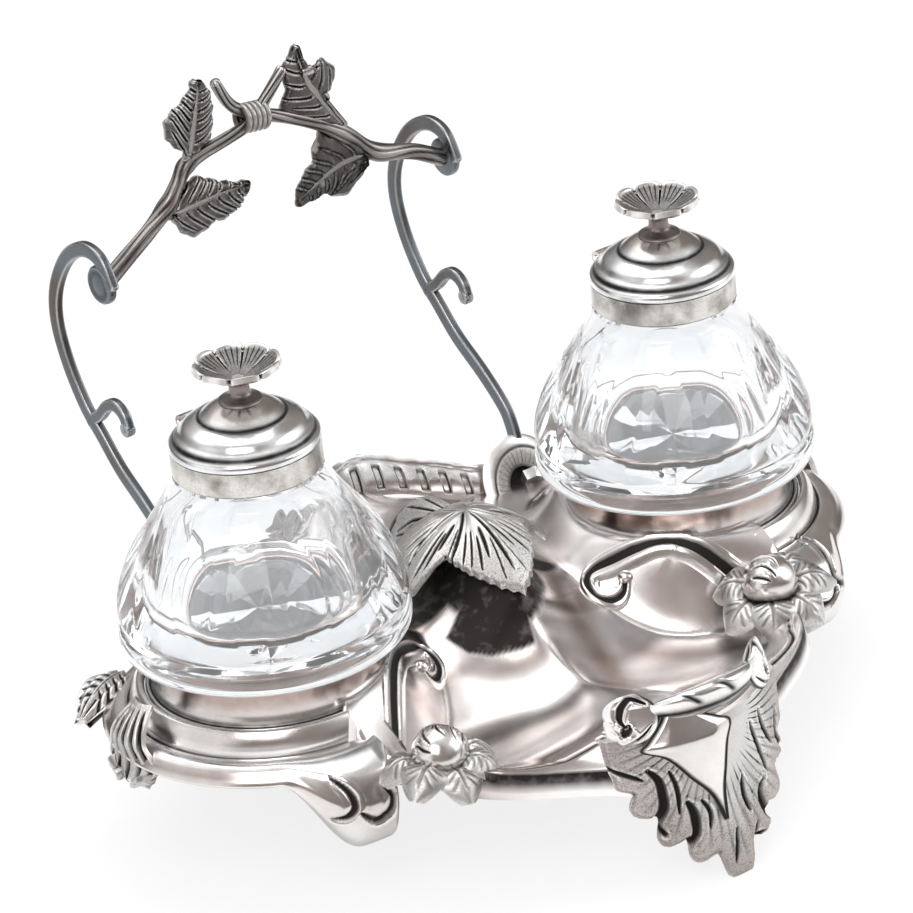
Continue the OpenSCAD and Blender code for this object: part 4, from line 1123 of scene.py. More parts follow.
# The cuts between its lobes, as x and height: points, half width and depth
FOOT_STROKES = [
    ([(-23.6, 28.5), (-17.3, 25.1)], 0.4, 0.5),
    ([(-16, 26.8), (-14.4, 24.4), (-14.1, 20.4), (-14.6, 17.9),
      (-16.2, 15.2), (-14.9, 12.9)], 0.75, 0.9),
    ([(-12.2, 26.1), (-11.3, 22.2), (-11.6, 16.8)], 0.4, 0.5),
    ([(-9.7, 18.7), (-8.7, 16), (-9, 11.5), (-11.8, 9.7)], 0.75, 0.9),
    ([(-6.8, 18.5), (-5.3, 15.4), (-5.9, 12.2)], 0.4, 0.5),
    ([(8.7, 29.3), (9.6, 25.1), (11.5, 17.6)], 0.5, 0.6),
    ([(12.1, 30.4), (12.8, 26.3), (14.7, 22)], 0.5, 0.6),
    ([(3.7, 20.1), (3.4, 16.3), (4.4, 12.1)], 0.5, 0.6),
    ([(10, 16.4), (8.2, 14.1), (10, 9), (15.8, 6.4)], 0.75, 0.9),
    ([(15.9, 17.5), (18.5, 12.2)], 0.4, 0.5), ([(5.8, 9.1), (5.1, 6.5), (8.2, 5.9)], 0.4, 0.5),
    ([(0, 10), (-0.6, 6), (-1.6, 3.4)], 0.4, 0.5),
    ([(18.4, 27), (17.4, 22), (20.5, 16.5)], 0.5, 0.6)
]


def make_front_foot():
    """A fan of acanthus lobes, cut and hatched."""
    rows, cols = 110, 300
    degrees = row(90, -90, cols)
    a = np.radians(degrees)
    k = column(0.02, 1, rows)
    r = k * FAN_Z * lookup(np.abs(degrees), FOOT_REACH)
    x, z = r * np.sin(a), FAN_Z - r * np.cos(a)
    relief, dark = engrave(x, z, [(line, 1.55 * w, 1.4 * d) for line, w, d in FOOT_STROKES])
    relief = relief - 1.1 * smooth(0.92, 1, k) ** 2
    hairs = (smooth(0.3, 0.9, np.cos(degrees * 1.1 + 3 * np.sin(5 * k))) * smooth(0.3, 0.5, k)
             * (1 - smooth(0.8, 0.95, k)))
    part = sheet(grid_of(x, foot_y(x, z), z), 2.4, relief - 0.1 * hairs,
                 recess=np.maximum(dark, 0.3 * hairs), haze=0.45 * smooth(0.6, 1, k),
                 chased=0.9 * smooth(0.3, 0.75, k) * (1 - dark))
    add_piece("front_foot_fan", [on_table(part)], "stand", ["front_foot"], "chased_silver")


# The shield's two sides, as height and x
SHIELD_LEFT = soft_table([
    (13.1, -2.9), (19.5, -5.2), (23.9, -8.8), (29.2, -13), (31.4, -17.4), (33, -16), (36, -13),
    (39.5, -10.4)
], 4)
SHIELD_RIGHT = soft_table([
    (13.1, -1.9), (19.5, -1.4), (23.9, -0.2), (29.2, 1.4), (33, 3.2), (34.5, 0.8), (36, -2),
    (39.5, -8.8)
], 4)


def make_shield():
    """The smooth pillow-shaped shield on the front foot, with an engraved border."""
    rows, cols, top, foot = 100, 70, 39.5, 13.1
    z = column(top, foot, rows)
    right, left = lookup(z, SHIELD_RIGHT), lookup(z, SHIELD_LEFT)
    x = right + (left - right) * row(0, 1, cols)
    inside = np.minimum(np.minimum(x - left, right - x), (top - z) * 0.7)
    border = 1 - smooth(0.5, 1.5, inside)
    part = sheet(grid_of(x, foot_y(x, z) - 1.1, z), 1.4, 0.9 * smooth(0, 6, inside) - 0.4 * border,
                 recess=border, haze=0.15)
    add_piece("front_shield_plate", [part], "stand", ["front_shield"], "polished_silver")


# The right comma scroll: its middle as x and height, its reach by angle, and its cuts
COMMA = (16.5, 37.5)
COMMA_REACH = [
    (0, 4.2), (60, 4.6), (115, 5.5), (156, 5.5), (185, 5), (233, 4.8), (281, 5.4), (306, 6.4),
    (330, 5.2), (360, 4.2)
]
COMMA_STROKES = [
    ([(13.8, 40.7), (16.2, 42.1), (17.9, 40.6), (18.9, 38.2), (18.4, 36.6)], 0.6, 0.8),
    ([(17.8, 36.8), (18.9, 34.8)], 1, 0.9), ([(13.6, 36.6), (16.8, 33.8), (21.4, 31.4)], 0.35, 0.4)
]
# The middle line of the band over the shield
BAND_LINE = [
    (-12.4, -71.5, 37.5), (-7.7, -75.5, 38.9), (0, -77.2, 39.4), (7.7, -75.5, 38.9),
    (12.4, -71.5, 37.5)
]


def make_front_band():
    """The rolled band over the shield, with a groove along it and two slanting slots."""
    turns = 40
    path = curve(BAND_LINE, 20)
    k = np.linspace(0, 1, len(path))
    ends = len(END_RINGS)
    s = column(0, 1, len(path) + 2 * ends)
    a = (np.arange(turns) * 2 * np.pi / turns)[None]
    marks = peak(a, 2.95, 0.3) + 0 * s
    for at in (0.3, 0.5):
        slot = peak(s - at - 0.07 * (a - 1.5), 0, 0.02)
        marks = np.maximum(marks, slot * smooth(1.2, 1.5, a) * (1 - smooth(2.4, 2.7, a)))
    part = tube(path, 1.6 + 3.1 * np.sin(np.pi * k) ** 0.7, 1 + 1.6 * np.sin(np.pi * k),
                (0, -0.6, 0.8), turns, lambda s, a: 1 - 0.1 * marks[ends:-ends], recess=marks)
    add_piece("front_rolled_band", [part], "stand", ["front_scroll_band"], "polished_silver")


def make_commas():
    """The two comma-shaped scrolls beside the shield."""
    a = row(2 * np.pi, 0, 160, endpoint=False)
    reach = lookup(np.degrees(a), soft_table(COMMA_REACH))
    k = column(0, 1, 50)
    x, z = COMMA[0] + k * reach * np.cos(a), COMMA[1] + k * reach * np.sin(a)
    y = foot_y(0 * x, z) + 0.02 * x * x - 1.8 * np.sqrt(np.maximum(1 - k ** 2.4, 0))
    relief, dark = engrave(x, z, COMMA_STROKES)
    inner = smooth(1.2, 1.6, a) * (1 - smooth(4.8, 5.2, a))
    dark = np.maximum(dark, smooth(0.78, 0.92, k) * inner)
    pad = sheet(grid_of(x, y, z), 1.4, relief, wrap=True, recess=dark, haze=0.3 * dark)
    add_pairs(("_comma", [pad], "_comma_scroll", "polished_silver"))


# A back leg: its top, then its half width and its bow outwards along it
LEG_TOP = 34
LEG_WIDTH = soft_table([
    (0, 7), (0.15, 8.4), (0.27, 6.6), (0.4, 8), (0.52, 5.6), (0.66, 6.6), (0.76, 4.6), (0.88, 4.8),
    (1, 3)
])
LEG_BOW = soft_table([(0, -3), (0.2, 1.2), (0.45, 2), (0.75, 0.4), (1, 2.4)])


def make_back_legs():
    """A narrow leaf that comes down from behind each well; k runs down it and q across."""
    out, across = unit(np.array([0.75, 0.66, 0])), unit(np.array([-0.66, 0.75, 0]))
    k, q = column(0, 1, 110), row(-1, 1, 60)
    rise = lookup(k, LEG_BOW) - 2.4 * q * q + 0.5 * np.cos(3 * np.pi * q)
    grid = (np.array([LEG_X, LEG_Y, 0]) - across * (lookup(k, LEG_WIDTH) * q)[..., None]
            + out * rise[..., None] + UP * (LEG_TOP - (LEG_TOP + 0.6) * k + 0 * q)[..., None])
    side = [([(0.12, at + 0.1), (0.5, at + 0.03), (0.92, at - 0.05)], 0.035, 0.4)
            for at in (0.12, 0.3, 0.42, 0.6, 0.72, 0.86)]
    relief, dark = engrave(q, k, [([(0, 0.05), (0.02, 0.5), (0, 0.97)], 0.05, 0.5)] + on_both(side))
    part = sheet(grid, 2.4, relief, recess=dark, chased=0.3)
    add_pairs(("_leg", [on_table(part)], "_back_leg", "chased_silver"))


# ---- flowers and leaves on the stand ----

# The flowers: the bud's radius, a petal's length, width and root, the turn in degrees from one
# petal to the next and the petals' shares of the length, then each bud's place and lean
BUD_R = 6
PETAL_L = 13
PETAL_W = 5.6
PETAL_ROOT = 2.4
PETAL_TURN = 48
PETAL_REACH = (1, 1.1, 1.08, 1.02, 1.05, 0.95)
BUDS = {"left": (45.5, -45, 31.5), "right": (46, -40, 33.2)}
LEAN = {"left": 4, "right": 14}


def petal(turn, length, raise_by):
    """A broad hollowed petal with a rib, hatching and a rolled tip, its root at the bud."""
    k, q = column(0, 1, 44), row(-1, 1, 28)
    w = PETAL_W * np.sin(np.pi * (0.16 + 0.82 * k ** 0.9)) ** 0.45
    out = PETAL_ROOT + (length - PETAL_ROOT) * (k - 0.12 * k * q * q)
    z = (-3.6 + raise_by + 3.1 * np.sin(np.pi * 0.82 * k) + 1.3 * (1 - q * q) * np.sin(np.pi * k)
         - 0.8 * k * q * q - 2.4 * k ** 3)
    hatch = [([(0.14, 0.14 + up), (0.42, 0.24 + up), (0.7, 0.3 + up)], 0.035, 0.1)
             for up in 0.13 * np.arange(5)]
    relief, dark = engrave(q, k, [([(0, 0.06), (0, 0.5), (0, 0.9)], 0.07, 0.35)] + on_both(hatch))
    dark = np.maximum(dark * (0.75 - 0.3 * k), smooth(0.9, 1, np.abs(q)) * 0.85 * (1 - k ** 3))
    co, si = math.cos(math.radians(turn)), math.sin(math.radians(turn))
    grid = grid_of(out * co - w * q * si, out * si + w * q * co, z)
    return sheet(grid[:, ::-1], 0.8, relief[:, ::-1], recess=dark[:, ::-1],
                 chased=0.5 * smooth(0.3, 0.9, k), edge=0.25 * smooth(0.9, 1, k))


# The lines engraved on a bud, seen from above
BUD_LINES = [
    ([(-2.6, 3.4), (-0.6, 1.6), (0.4, -0.6), (0.2, -2.6)], 0.3, 0.45),
    ([(0.4, 4), (2.2, 2.4), (3.4, 0.2), (3.6, -2)], 0.3, 0.45),
    ([(-4, 1), (-2.6, -0.8), (-1.8, -3), (-1.6, -4.4)], 0.3, 0.45),
    ([(-0.4, 2.2), (1, 0.4)], 0.22, 0.35), ([(4.9, 1.6), (5, -1), (4.4, -2.8)], 0.28, 0.4),
    ([(-5, -0.6), (-4.2, -2.4), (-3, -4.2)], 0.28, 0.4)
]


def make_flowers():
    """Petals round a bud, on each side at its own place and lean."""
    petals = [petal(16 - n * PETAL_TURN, PETAL_L * reach, 0.8 * (n % 2))
              for n, reach in enumerate(PETAL_REACH)]
    turns, rings = 120, 70
    t = row(0, 2 * np.pi, turns, endpoint=False)
    up = column(0, np.pi, rings)
    x, y = BUD_R * np.sin(up) * np.cos(t), BUD_R * np.sin(up) * np.sin(t)
    relief, dark = engrave(x, y, BUD_LINES)
    above = smooth(0.15, 0.35, np.cos(up))
    root = peak(up, 1.9, 0.25)
    ball = 1 + relief * above / BUD_R + 0.03 * np.cos(3 * t + 1.6 * up) * np.sin(up)
    bud = (grid_of(x * ball, y * ball, BUD_R * np.cos(up) * ball).reshape(-1, 3),
           [cells(rings, turns, True)],
           {"recess": np.clip(dark * above + root, 0, 1).ravel(), "haze": 0.15})
    for name, s in SIDES:
        lean = math.radians(LEAN[name])
        turn = np.array(Matrix.Rotation(-lean, 3, "Y") @ Matrix.Rotation(lean, 3, "X")).T
        leant = [mirrored(moved((p[0] @ turn, p[1], p[2]), BUDS[name]), s) for p in petals]
        add_piece(name + "_petals", leant, "stand", [name + "_flower_petals"], "chased_silver")
        add_piece(name + "_bud", [mirrored(moved(bud, BUDS[name]), s)], "stand",
                  [name + "_flower_bud"], "polished_silver")


def make_stand_leaves():
    """The leaf over each end, the leaf down each side and the shell at the foot of each bar."""
    k, q = column(0, 1, 60), row(-1, 1, 46)
    add_pairs(("_reaching_leaf", [reaching_leaf(k, q)], "_end_leaf", "chased_silver"),
              ("_hanging_leaf", [hanging_leaf(k, q)], "_side_leaf", "chased_silver"),
              ("_shell", [shell_scroll(k)], "_rocaille", "chased_silver"))


def reaching_leaf(k, q):
    """A leaf that arches out over the end; k runs out along it and q across."""
    side = [([(0.1, at - 0.08), (0.5, at + 0.04), (0.9, at + 0.2)], 0.04, 0.3)
            for at in (0.2, 0.36, 0.52, 0.68)]
    relief, dark = engrave(q, k, [([(0, 0.04), (0, 0.5), (0, 0.95)], 0.06, 0.35)] + on_both(side))
    out, across = unit(np.array([0.92, -0.3, 0])), unit(np.array([0.3, 0.92, 0]))
    w = lookup(k, soft_table([(0, 4), (0.3, 5.6), (0.55, 5), (0.75, 3.8), (1, 1.2)]))
    lift = 2.6 * np.sin(np.radians(100 * k)) - 6 * k * k - 1.6 * q * q + 0.4 * np.cos(4 * np.pi * q)
    grid = (np.array([WELL_X + 18.5, 28, APRON_Z + 3.8]) + out * (15 * k + 0 * q)[..., None]
            - across * (w * q)[..., None] + UP * lift[..., None])
    return sheet(grid, SHEET, relief, recess=dark, chased=0.4)


def hanging_leaf(k, q):
    """Fingers that hang down over the apron; k runs down and q across."""
    w = lookup(k, soft_table([(0, 3), (0.25, 4.6), (0.5, 6.2), (0.75, 8), (0.9, 7.4), (1, 4)]))
    bow = lookup(k, soft_table([(0, -5), (0.2, -1.6), (0.45, 0.6), (0.75, 0.2), (1, 1.4)]))
    grid = grid_of(WELL_X + APRON_R - 0.2 + bow - 1.2 * q * q, 3 - 2 * k - w * q,
                   RING_FOOT_Z + 3.2 - (15.5 - 1.8 * np.abs(np.sin(2.5 * np.pi * q))) * k)
    cuts, shade = engrave(q, k, [([(0.4 * at, 0.1), (0.45 * at, 0.5), (0.42 * at, 1)], 0.1, 0.9)
                                 for at in (0, 1, -1, 1.9, -1.9)])
    return sheet(grid, SHEET, 0.8 * cuts, recess=shade, chased=0.5)


def shell_scroll(k):
    """A shell with a dark hollow, a chased band and a rolled edge; k runs out from its hollow."""
    a = row(196, -16, 130)
    r = 0.4 + 10.4 * k
    up = r * np.sin(np.radians(a))
    swell = (1.9 * np.sin(np.pi * np.clip((k - 0.36) / 0.64, 0, 1)) ** 0.7
             - 1.6 * smooth(0.42, 0.3, k))
    grid = grid_of(BAR_X - 2.5 + r * np.cos(np.radians(a)),
                   TRAY_BACK - 9 + 6.8 * np.sin(np.radians(7 * np.maximum(up, 0))) - swell,
                   28.8 + 1.05 * up)
    rays = smooth(0.6, 1, np.cos(np.radians(a * 40))) * (np.abs(k - 0.62) < 0.14)
    lines = peak(k, 0.8, 0.025) + 0.4 * rays
    return sheet(grid, SHEET, -0.2 * lines, edge=smooth(0.85, 0.92, k),
                 recess=np.clip(lines * 0.8 + smooth(0.46, 0.36, k), 0, 1),
                 chased=0.7 * smooth(0.48, 0.55, k) * (1 - smooth(0.78, 0.84, k)))


# ---- handle ----

# The bars' thickness and width, the stems' radius and the vine leaves' thickness
BAR_T = 2
BAR_W = 3.38
BRANCH_R = 1.7
VINE_T = 1.2
# The bar from the tray to its disc and the hook on it, as y and z, and the knob's place
BAR_LINE = [
    (45.8, 37.5), (47, 41.6), (49.4, 45.6), (56, 51.4), (64.6, 57.6), (71, 64), (76.3, 69.4),
    (81.3, 78.3), (83.6, 87.5), (81.8, 96), (75.8, 104.4), (68.5, 108.5), (62.4, 107.5),
    (DISC_Y - 4, BRANCH_Z)
]
REST_LINE = [(75, 66), (70.4, 69), (67, 72.2), (63.6, 73.4), (60.6, 71.8), (59.6, 68.6)]
KNOB_AT = (60, 69)


def upright_tube(line, width):
    """A flat bar along a line of (y, z) points at one distance from the middle."""
    flat = curve(line, 14)
    path = np.column_stack([np.full(len(flat), BAR_X), flat])
    return tube(path, BAR_T / 2, width / 2, (1, 0, 0), 40, boxy(5))


# The disc and the small knob that end the bar's scrolls: radius and height
DISC = [
    (0, -1), (3.9, -1), (4.3, -0.7), (4.4, 0), (4.3, 0.7), (3.9, 1.1), (3.2, 0.95), (2.6, 0.95),
    (1.8, 1.1), (0, 1.2)
]
KNOB = [(0, -1), (1.5, -1), (1.7, -0.7), (1.7, 0.7), (1.5, 1), (0, 1)]


def make_uprights():
    """Each flat bar with its hook, its disc and its knob."""
    disc = lathe(DISC, 72, recess=[0.3 if r in (3.2, 2.6) else 0 for r, _ in DISC])
    disc = moved(along_x(disc), (BAR_X, DISC_Y, BRANCH_Z))
    knob = moved(along_x(lathe(KNOB, 48)), (BAR_X, *KNOB_AT))
    parts = [upright_tube(BAR_LINE, BAR_W), upright_tube(REST_LINE, BAR_W * 0.8), disc, knob]
    add_pairs(("_bar", parts, "_upright", "oxidised_silver"), sharp=40)


BRANCH_END = BAR_X - BAR_T / 2
# The stems' lines, as shares of the half width and the rise, and mm to the back
LEFT_STEM = [
    (-1, 0, 0), (-0.86, 0.16, 0.3), (-0.72, 0.32, 0.6), (-0.61, 0.48, 0.6), (-0.54, 0.66, 0.4),
    (-0.48, 0.8, 0.2), (-0.38, 0.87, 0), (-0.23, 0.93, -0.2), (-0.1, 1, -0.3), (0.01, 1.18, -0.3),
    (0.11, 1.38, -0.2)
]
RIGHT_STEM = [
    (1, 0, 0), (0.82, 0.17, 0), (0.61, 0.29, 0.2), (0.48, 0.5, 0.3), (0.32, 0.72, 0.4),
    (0.14, 0.9, 0.5), (-0.02, 1.02, 0.6), (-0.13, 1.12, 0.7), (-0.2, 1.24, 0.7), (-0.26, 1.46, 0.6)
]
# For each stem: its node, its line, where its bark pattern starts, and where the leaves join
STEMS = {"left_vine_stem": ("handle_branch", LEFT_STEM, 2.0, (0.3, 0.5)),
         "right_vine_stem": ("handle_twigs", RIGHT_STEM, 5.0, (0.22, 0.37))}
BARK_DEPTH = 0.16


def make_stems():
    """The two crossing stems, ridged as bark and a little thicker where the leaves join."""
    turns = 48
    for name, (node_name, points, seed, joints) in STEMS.items():
        path = curve([(a * BRANCH_END, DISC_Y + c, BRANCH_Z + b * BRANCH_RISE)
                      for a, b, c in points], 24)
        k = np.linspace(0, 1, len(path))
        thick = BRANCH_R * (1.14 - 0.4 * k + 0.24 * sum(peak(k, at, 0.045) for at in joints))

        def bark(s, a):
            wander = a + 0.5 * np.sin(7 * s + seed) + 0.25 * np.sin(19 * s + 2 * seed)
            ridge = np.abs(np.sin(3.5 * wander)) ** 0.6
            knots = 0.04 * np.sin(31 * s + seed) * np.cos(a + seed)
            return 1 - BARK_DEPTH + BARK_DEPTH * ridge + knots

        a = (np.arange(turns) * 2 * np.pi / turns)[None]
        groove = 1 - (bark(k[:, None], a) - 1 + BARK_DEPTH) / BARK_DEPTH
        groove = np.pad(groove, ((len(END_RINGS),) * 2, (0, 0)), "edge")
        part = tube(path, thick, thick, (0, 1, 0), turns, bark, recess=np.clip(groove, 0, 1) ** 1.5,
                    edge=np.clip(1 - 2.6 * groove, 0, 1) * 0.45)
        add_piece(name, [part], "stand", [node_name], "oxidised_silver", "bark_silver", sharp=70)


def make_tie():
    """Turns of wire round both stems, with painted shade in the gaps between them."""
    # The wire is a little wider than it is thick
    turns, pitch, wire, lean = 5, 1.25, (0.7, 0.66), math.radians(6)
    step = np.array([math.cos(lean), 0, -math.sin(lean)]) * pitch
    a = np.linspace(0, 2 * np.pi, 28, endpoint=False)
    section = np.column_stack([1.55 * BRANCH_R + wire[0] * np.cos(a), wire[1] * np.sin(a)])
    # Painted shade: the sides of each turn that face the next turn are darkened
    points, faces, marks = along_x(lathe(section, 72, recess=smooth(0.25, 0.7, np.abs(np.sin(a)))))
    leant = np.array(Matrix.Rotation(lean, 3, "Y")).T
    middle = np.array([-0.08 * BRANCH_END, DISC_Y, BRANCH_Z + 1.04 * BRANCH_RISE])
    first = (points @ leant + middle - (turns - 1) / 2 * step, faces, marks)
    mesh = copies_of(first, turns, step, "bark_silver")
    for k in PAINTED:
        if k not in mesh.attributes:
            mesh.attributes.new(k, "FLOAT", "POINT")
    place_piece("wire_tie", mesh, "stand", ["handle_tie"], "polished_silver", "bark_silver")


# Each leaf's outline and its rib, as x and height above the discs
VINE_LEAVES = {
    "left_upper": ([
        (-22.2, 23), (-25, 25.8), (-25.8, 29.2), (-24.4, 31.8), (-21.4, 33.6), (-19, 35.6),
        (-17.6, 37.8), (-16, 37.4), (-13.7, 34.8), (-12.9, 31.5), (-13.2, 27.5), (-14.2, 23.8),
        (-17.4, 22.2), (-20, 21.4)
    ], [(-21, 20.5), (-18.6, 28), (-16.4, 36.6)]),
    "left_lower": ([
        (-26.8, 10.6), (-24, 13.5), (-21.8, 15.6), (-19.2, 16.4), (-14.4, 14), (-10.7, 12.4),
        (-6.2, 10.9), (-7.2, 8.6), (-8.9, 6.1), (-11.8, 4.5), (-16.4, 4.2), (-18.6, 3.1),
        (-21.3, 2.9), (-23.7, 4.2), (-26.2, 7.8)
    ], [(-28, 10), (-20, 10.2), (-13.5, 10.8), (-7.2, 10.6)]),
    "right_upper": ([
        (3.4, 22.4), (4.6, 26.8), (5.8, 28.6), (4.9, 32), (6.6, 35.2), (9.1, 37.6), (10.6, 34.4),
        (12.1, 32.2), (13.8, 31.5), (16.1, 32.4), (19.1, 28.8), (17.4, 26), (15.4, 23.4),
        (19, 16.6), (13.8, 17.8), (7.6, 20.8)
    ], [(19.4, 15.4), (15, 22.4), (11.1, 28.8), (9, 36.6)]),
    "right_lower": ([
        (13.2, 16.6), (11, 12.6), (10.2, 9.9), (7.2, 7.2), (5.2, 3.4), (5.6, 1.2), (9.1, 1.1),
        (13.2, 1.4), (17, -0.4), (19.8, 0), (22.5, 2.4), (23.4, 5.4), (26.4, 7.2), (21, 12.2)
    ], [(26, 7), (19.3, 7.6), (12.9, 5.8), (6.4, 2.8)]),
}


# The side veins: the point of the rib where a pair starts, and how far it reaches
SIDE_VEINS = [(5, 0.8), (13, 0.9), (21, 0.9), (29, 0.9), (37, 0.85), (45, 0.75), (52, 0.65)]


def make_vine_leaves():
    """Each leaf spreads from its rib to its toothed rim and carries a stalk along the rib."""
    rows, cols, rib_points, tooth = 40, 260, 60, 20
    for name, (outline, rib) in VINE_LEAVES.items():
        rim = even(curve(list(outline) + [outline[0]], 12), cols + 1)[:-1]
        ahead = unit(np.roll(rim, -1, 0) - np.roll(rim, 1, 0))
        teeth = 0.5 - np.abs(((np.arange(cols) / tooth) % 1) - 0.5) * 2
        rim = rim + (0.5 * teeth)[:, None] * np.column_stack([-ahead[:, 1], ahead[:, 0]])
        spine = even(curve(rib, 16), rib_points)
        near = np.argmin(np.linalg.norm(rim[:, None] - spine[None], axis=2), axis=1)
        after = np.roll(rim, -1, 0)
        if (rim[:, 0] * after[:, 1] - after[:, 0] * rim[:, 1]).sum() > 0:
            rim, near = rim[::-1], near[::-1]
        hub = spine[near]
        k = column(0, 1, rows)
        flat = hub + (rim - hub) * k[..., None]
        x, up = flat[..., 0], flat[..., 1]
        lobes = np.linalg.norm(rim - hub, axis=1)[None]
        strokes = []
        for at, share in SIDE_VEINS:
            ahead = unit(spine[min(at + 3, rib_points - 1)] - spine[max(at - 3, 0)])
            for way in (1, -1):
                aside = way * np.array([-ahead[1], ahead[0]])
                strokes.append(([spine[at], spine[at] + 2.4 * (aside + 0.6 * ahead),
                                 spine[at] + 7 * share * (aside + 0.9 * ahead)], 0.28, 0.4))
        relief, dark = engrave(x, up, strokes)
        curl = 0.9 * np.sin(np.pi * k) - 0.7 * smooth(0.8, 1, k) + 0.012 * lobes * np.sin(k * 6)
        blade = sheet(grid_of(x, DISC_Y - curl - 0.3, BRANCH_Z - 0.15 + up), VINE_T * 0.8, relief,
                      wrap=True, recess=dark, edge=0.8 * smooth(0.93, 0.99, k))
        path = np.column_stack([spine[:, 0], np.full(rib_points, DISC_Y), BRANCH_Z + spine[:, 1]])
        stalk = tube(path, np.linspace(0.95, 0.4, rib_points), np.linspace(1.35, 1, rib_points),
                     (0, 1, 0), 20, edge=0.45)
        add_piece(name + "_vine_leaf", [blade, stalk], "stand", [name + "_leaf"], "oxidised_silver",
                  "leaf_silver", sharp=60)


# ---- camera, light and floor ----

# Direction and roll of the camera, where its aim point lies in the render, and its scale
AZIMUTH, ELEVATION, ROLL = -35, 26, -5.39
FOCAL = 5000
PIXELS_PER_MM = 4.75
AIM = (0, 0, 50)
AIM_PIXEL = (475.2, 525.4)
RENDER_SIZE = 913
SENSOR = 36


def make_camera():
    """A distant camera, so that the object is seen nearly without perspective."""
    az, el, roll = (math.radians(v) for v in (AZIMUTH, ELEVATION, ROLL))
    right = Vector((math.cos(az), math.sin(az), 0))
    ahead = Vector((-math.sin(az), math.cos(az), 0))
    forward = ahead * math.cos(el) - Vector(UP) * math.sin(el)
    up = ahead * math.sin(el) + Vector(UP) * math.cos(el)
    side = right * math.cos(roll) + up * math.sin(roll)
    top = up * math.cos(roll) - right * math.sin(roll)
    across, down = ((v - RENDER_SIZE / 2) / PIXELS_PER_MM for v in AIM_PIXEL)
    place = Vector(AIM) - side * across + top * down - forward * FOCAL / PIXELS_PER_MM
    data = bpy.data.cameras.new("camera")
    data.sensor_width = SENSOR
    data.lens = FOCAL / RENDER_SIZE * SENSOR
    data.clip_end = 10
    camera = bpy.data.objects.new("camera", data)
    turn = Matrix((side, top, -forward)).transposed().to_4x4()
    camera.matrix_world = Matrix.Translation(place * MM) @ turn
    bpy.context.collection.objects.link(camera)
    bpy.context.scene.camera = camera


# Each lamp's place and width in metres and its power in watts
LAMPS = {"key": ((-0.7, -0.6, 1.0), 0.7, 7), "fill": ((0.9, -0.7, 0.7), 0.8, 4),
         "top": ((0.1, 0.3, 1.2), 0.9, 6)}


def make_lamps():
    """Soft square lamps that face the middle of the object."""
    for name, (place, size, power) in LAMPS.items():
        data = bpy.data.lights.new(name, "AREA")
        data.size, data.energy = size, power
        made = bpy.data.objects.new(name, data)
        made.location = place
        towards = Vector(AIM) * MM - Vector(place)
        made.rotation_euler = towards.to_track_quat("-Z", "Y").to_euler()
        bpy.context.collection.objects.link(made)


# The room that silver sees: colours from below the horizon up, then patches of darkness and light
# as direction, where each fades in and is full (cosines), and colour
ROOM = [
    (0.46, (0.75, 0.74, 0.73)), (0.52, (0.1, 0.095, 0.09)), (0.6, (0.2, 0.185, 0.18)),
    (0.7, (0.45, 0.43, 0.42)), (0.82, (0.72, 0.71, 0.7)), (1.0, (0.9, 0.9, 0.9))
]
PATCHES = [
    ((-0.5, -0.7, 0.5), 0.6, 0.9, (0.3, 0.25, 0.23)),
    ((0.75, 0.3, 0.6), 0.8, 0.97, (0.3, 0.27, 0.25)),
    ((-0.2, 0.5, 0.84), 0.88, 0.97, (1.5, 1.5, 1.5)),
    ((-0.95, 0.1, 0.3), 0.8, 0.95, (1.2, 1.2, 1.2)),
    ((0.9, -0.4, 0.35), 0.85, 0.97, (1.1, 1.1, 1.1))
]
WHITE = (1, 1, 1, 1)


def straight_rays(tree):
    """The light path's outputs, and 1 for what the camera sees directly or through glass."""
    rays = tree.nodes.new("ShaderNodeLightPath").outputs
    return rays, maths(tree, "MAXIMUM", rays["Is Camera Ray"], rays["Is Transmission Ray"])


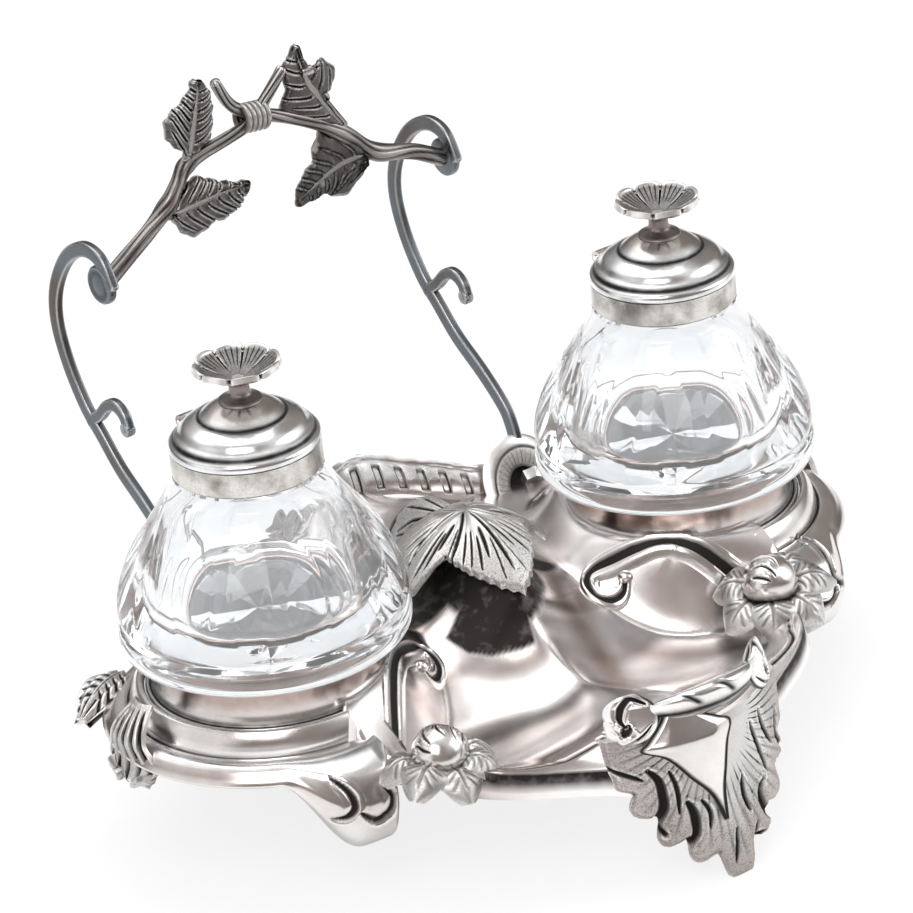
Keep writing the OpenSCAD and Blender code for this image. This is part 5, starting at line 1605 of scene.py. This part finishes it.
def make_world():
    """White for the camera and through glass; silver sees a pale room with darker, warmer sides."""
    world = bpy.data.worlds.new("room")
    bpy.context.scene.world = world
    world.use_nodes = True
    tree = world.node_tree
    tree.nodes.clear()
    view = tree.nodes.new("ShaderNodeTexCoord").outputs["Generated"]
    height = node(tree, "ShaderNodeSeparateXYZ", {"Vector": view}).outputs["Z"]
    room = node(tree, "ShaderNodeValToRGB", {"Fac": maths(tree, "MULTIPLY_ADD", height, 0.5, 0.5)})
    steps = room.color_ramp.elements
    steps[0].position, steps[1].position = ROOM[0][0], ROOM[-1][0]
    for at, _ in ROOM[1:-1]:
        steps.new(at)
    for step, (_, colour) in zip(steps, ROOM):
        step.color = (*colour, 1)
    room = room.outputs["Color"]
    for way, inner, outer, colour in PATCHES:
        towards = node(tree, "ShaderNodeVectorMath", {0: view, 1: unit(np.array(way))},
                       operation="DOT_PRODUCT").outputs["Value"]
        share = node(tree, "ShaderNodeMapRange", {0: towards, 1: inner, 2: outer, 3: 0.0, 4: 1.0},
                     interpolation_type="SMOOTHSTEP").outputs[0]
        room = blend_colours(tree, share, room, (*colour, 1))
    rays, straight = straight_rays(tree)
    colour = blend_colours(tree, rays["Is Glossy Ray"], (0.8, 0.8, 0.8, 1), room)
    colour = blend_colours(tree, straight, colour, WHITE)
    light = node(tree, "ShaderNodeBackground", {"Color": colour, "Strength": 1.0})
    node(tree, "ShaderNodeOutputWorld", {"Surface": light.outputs[0]})


def make_floor():
    """A pale floor that keeps the object's shadow and runs into the white behind it."""
    mesh = bpy.data.meshes.new("floor")
    # In metres
    half = 3
    mesh.from_pydata([(-half, -half, 0), (half, -half, 0), (half, half, 0), (-half, half, 0)], [],
                     [(0, 1, 2, 3)])
    floor = bpy.data.objects.new("floor", mesh)
    bpy.context.collection.objects.link(floor)
    material = bpy.data.materials.new("floor")
    material.use_nodes = True
    tree = material.node_tree
    tree.nodes.clear()
    matt = node(tree, "ShaderNodeBsdfDiffuse", {"Color": (0.9, 0.9, 0.9, 1)})
    glow = node(tree, "ShaderNodeEmission", {"Color": WHITE, "Strength": 1.0})
    _, straight = straight_rays(tree)
    mix = node(tree, "ShaderNodeMixShader", {
        0: maths(tree, "MULTIPLY", straight, 0.8), 1: matt.outputs[0], 2: glow.outputs[0]})
    node(tree, "ShaderNodeOutputMaterial", {"Surface": mix.outputs[0]})
    mesh.materials.append(material)


bpy.context.scene.view_settings.view_transform = "Standard"
make_camera()
make_world()
make_floor()
make_lamps()
make_tray()
make_centre_leaf()
make_gallery()
make_wells()
make_aprons()
make_glass()
make_lids()
make_cups()
make_collars()
make_front_foot()
make_shield()
make_front_band()
make_commas()
make_back_legs()
make_flowers()
make_stand_leaves()
make_uprights()
make_stems()
make_tie()
make_vine_leaves()
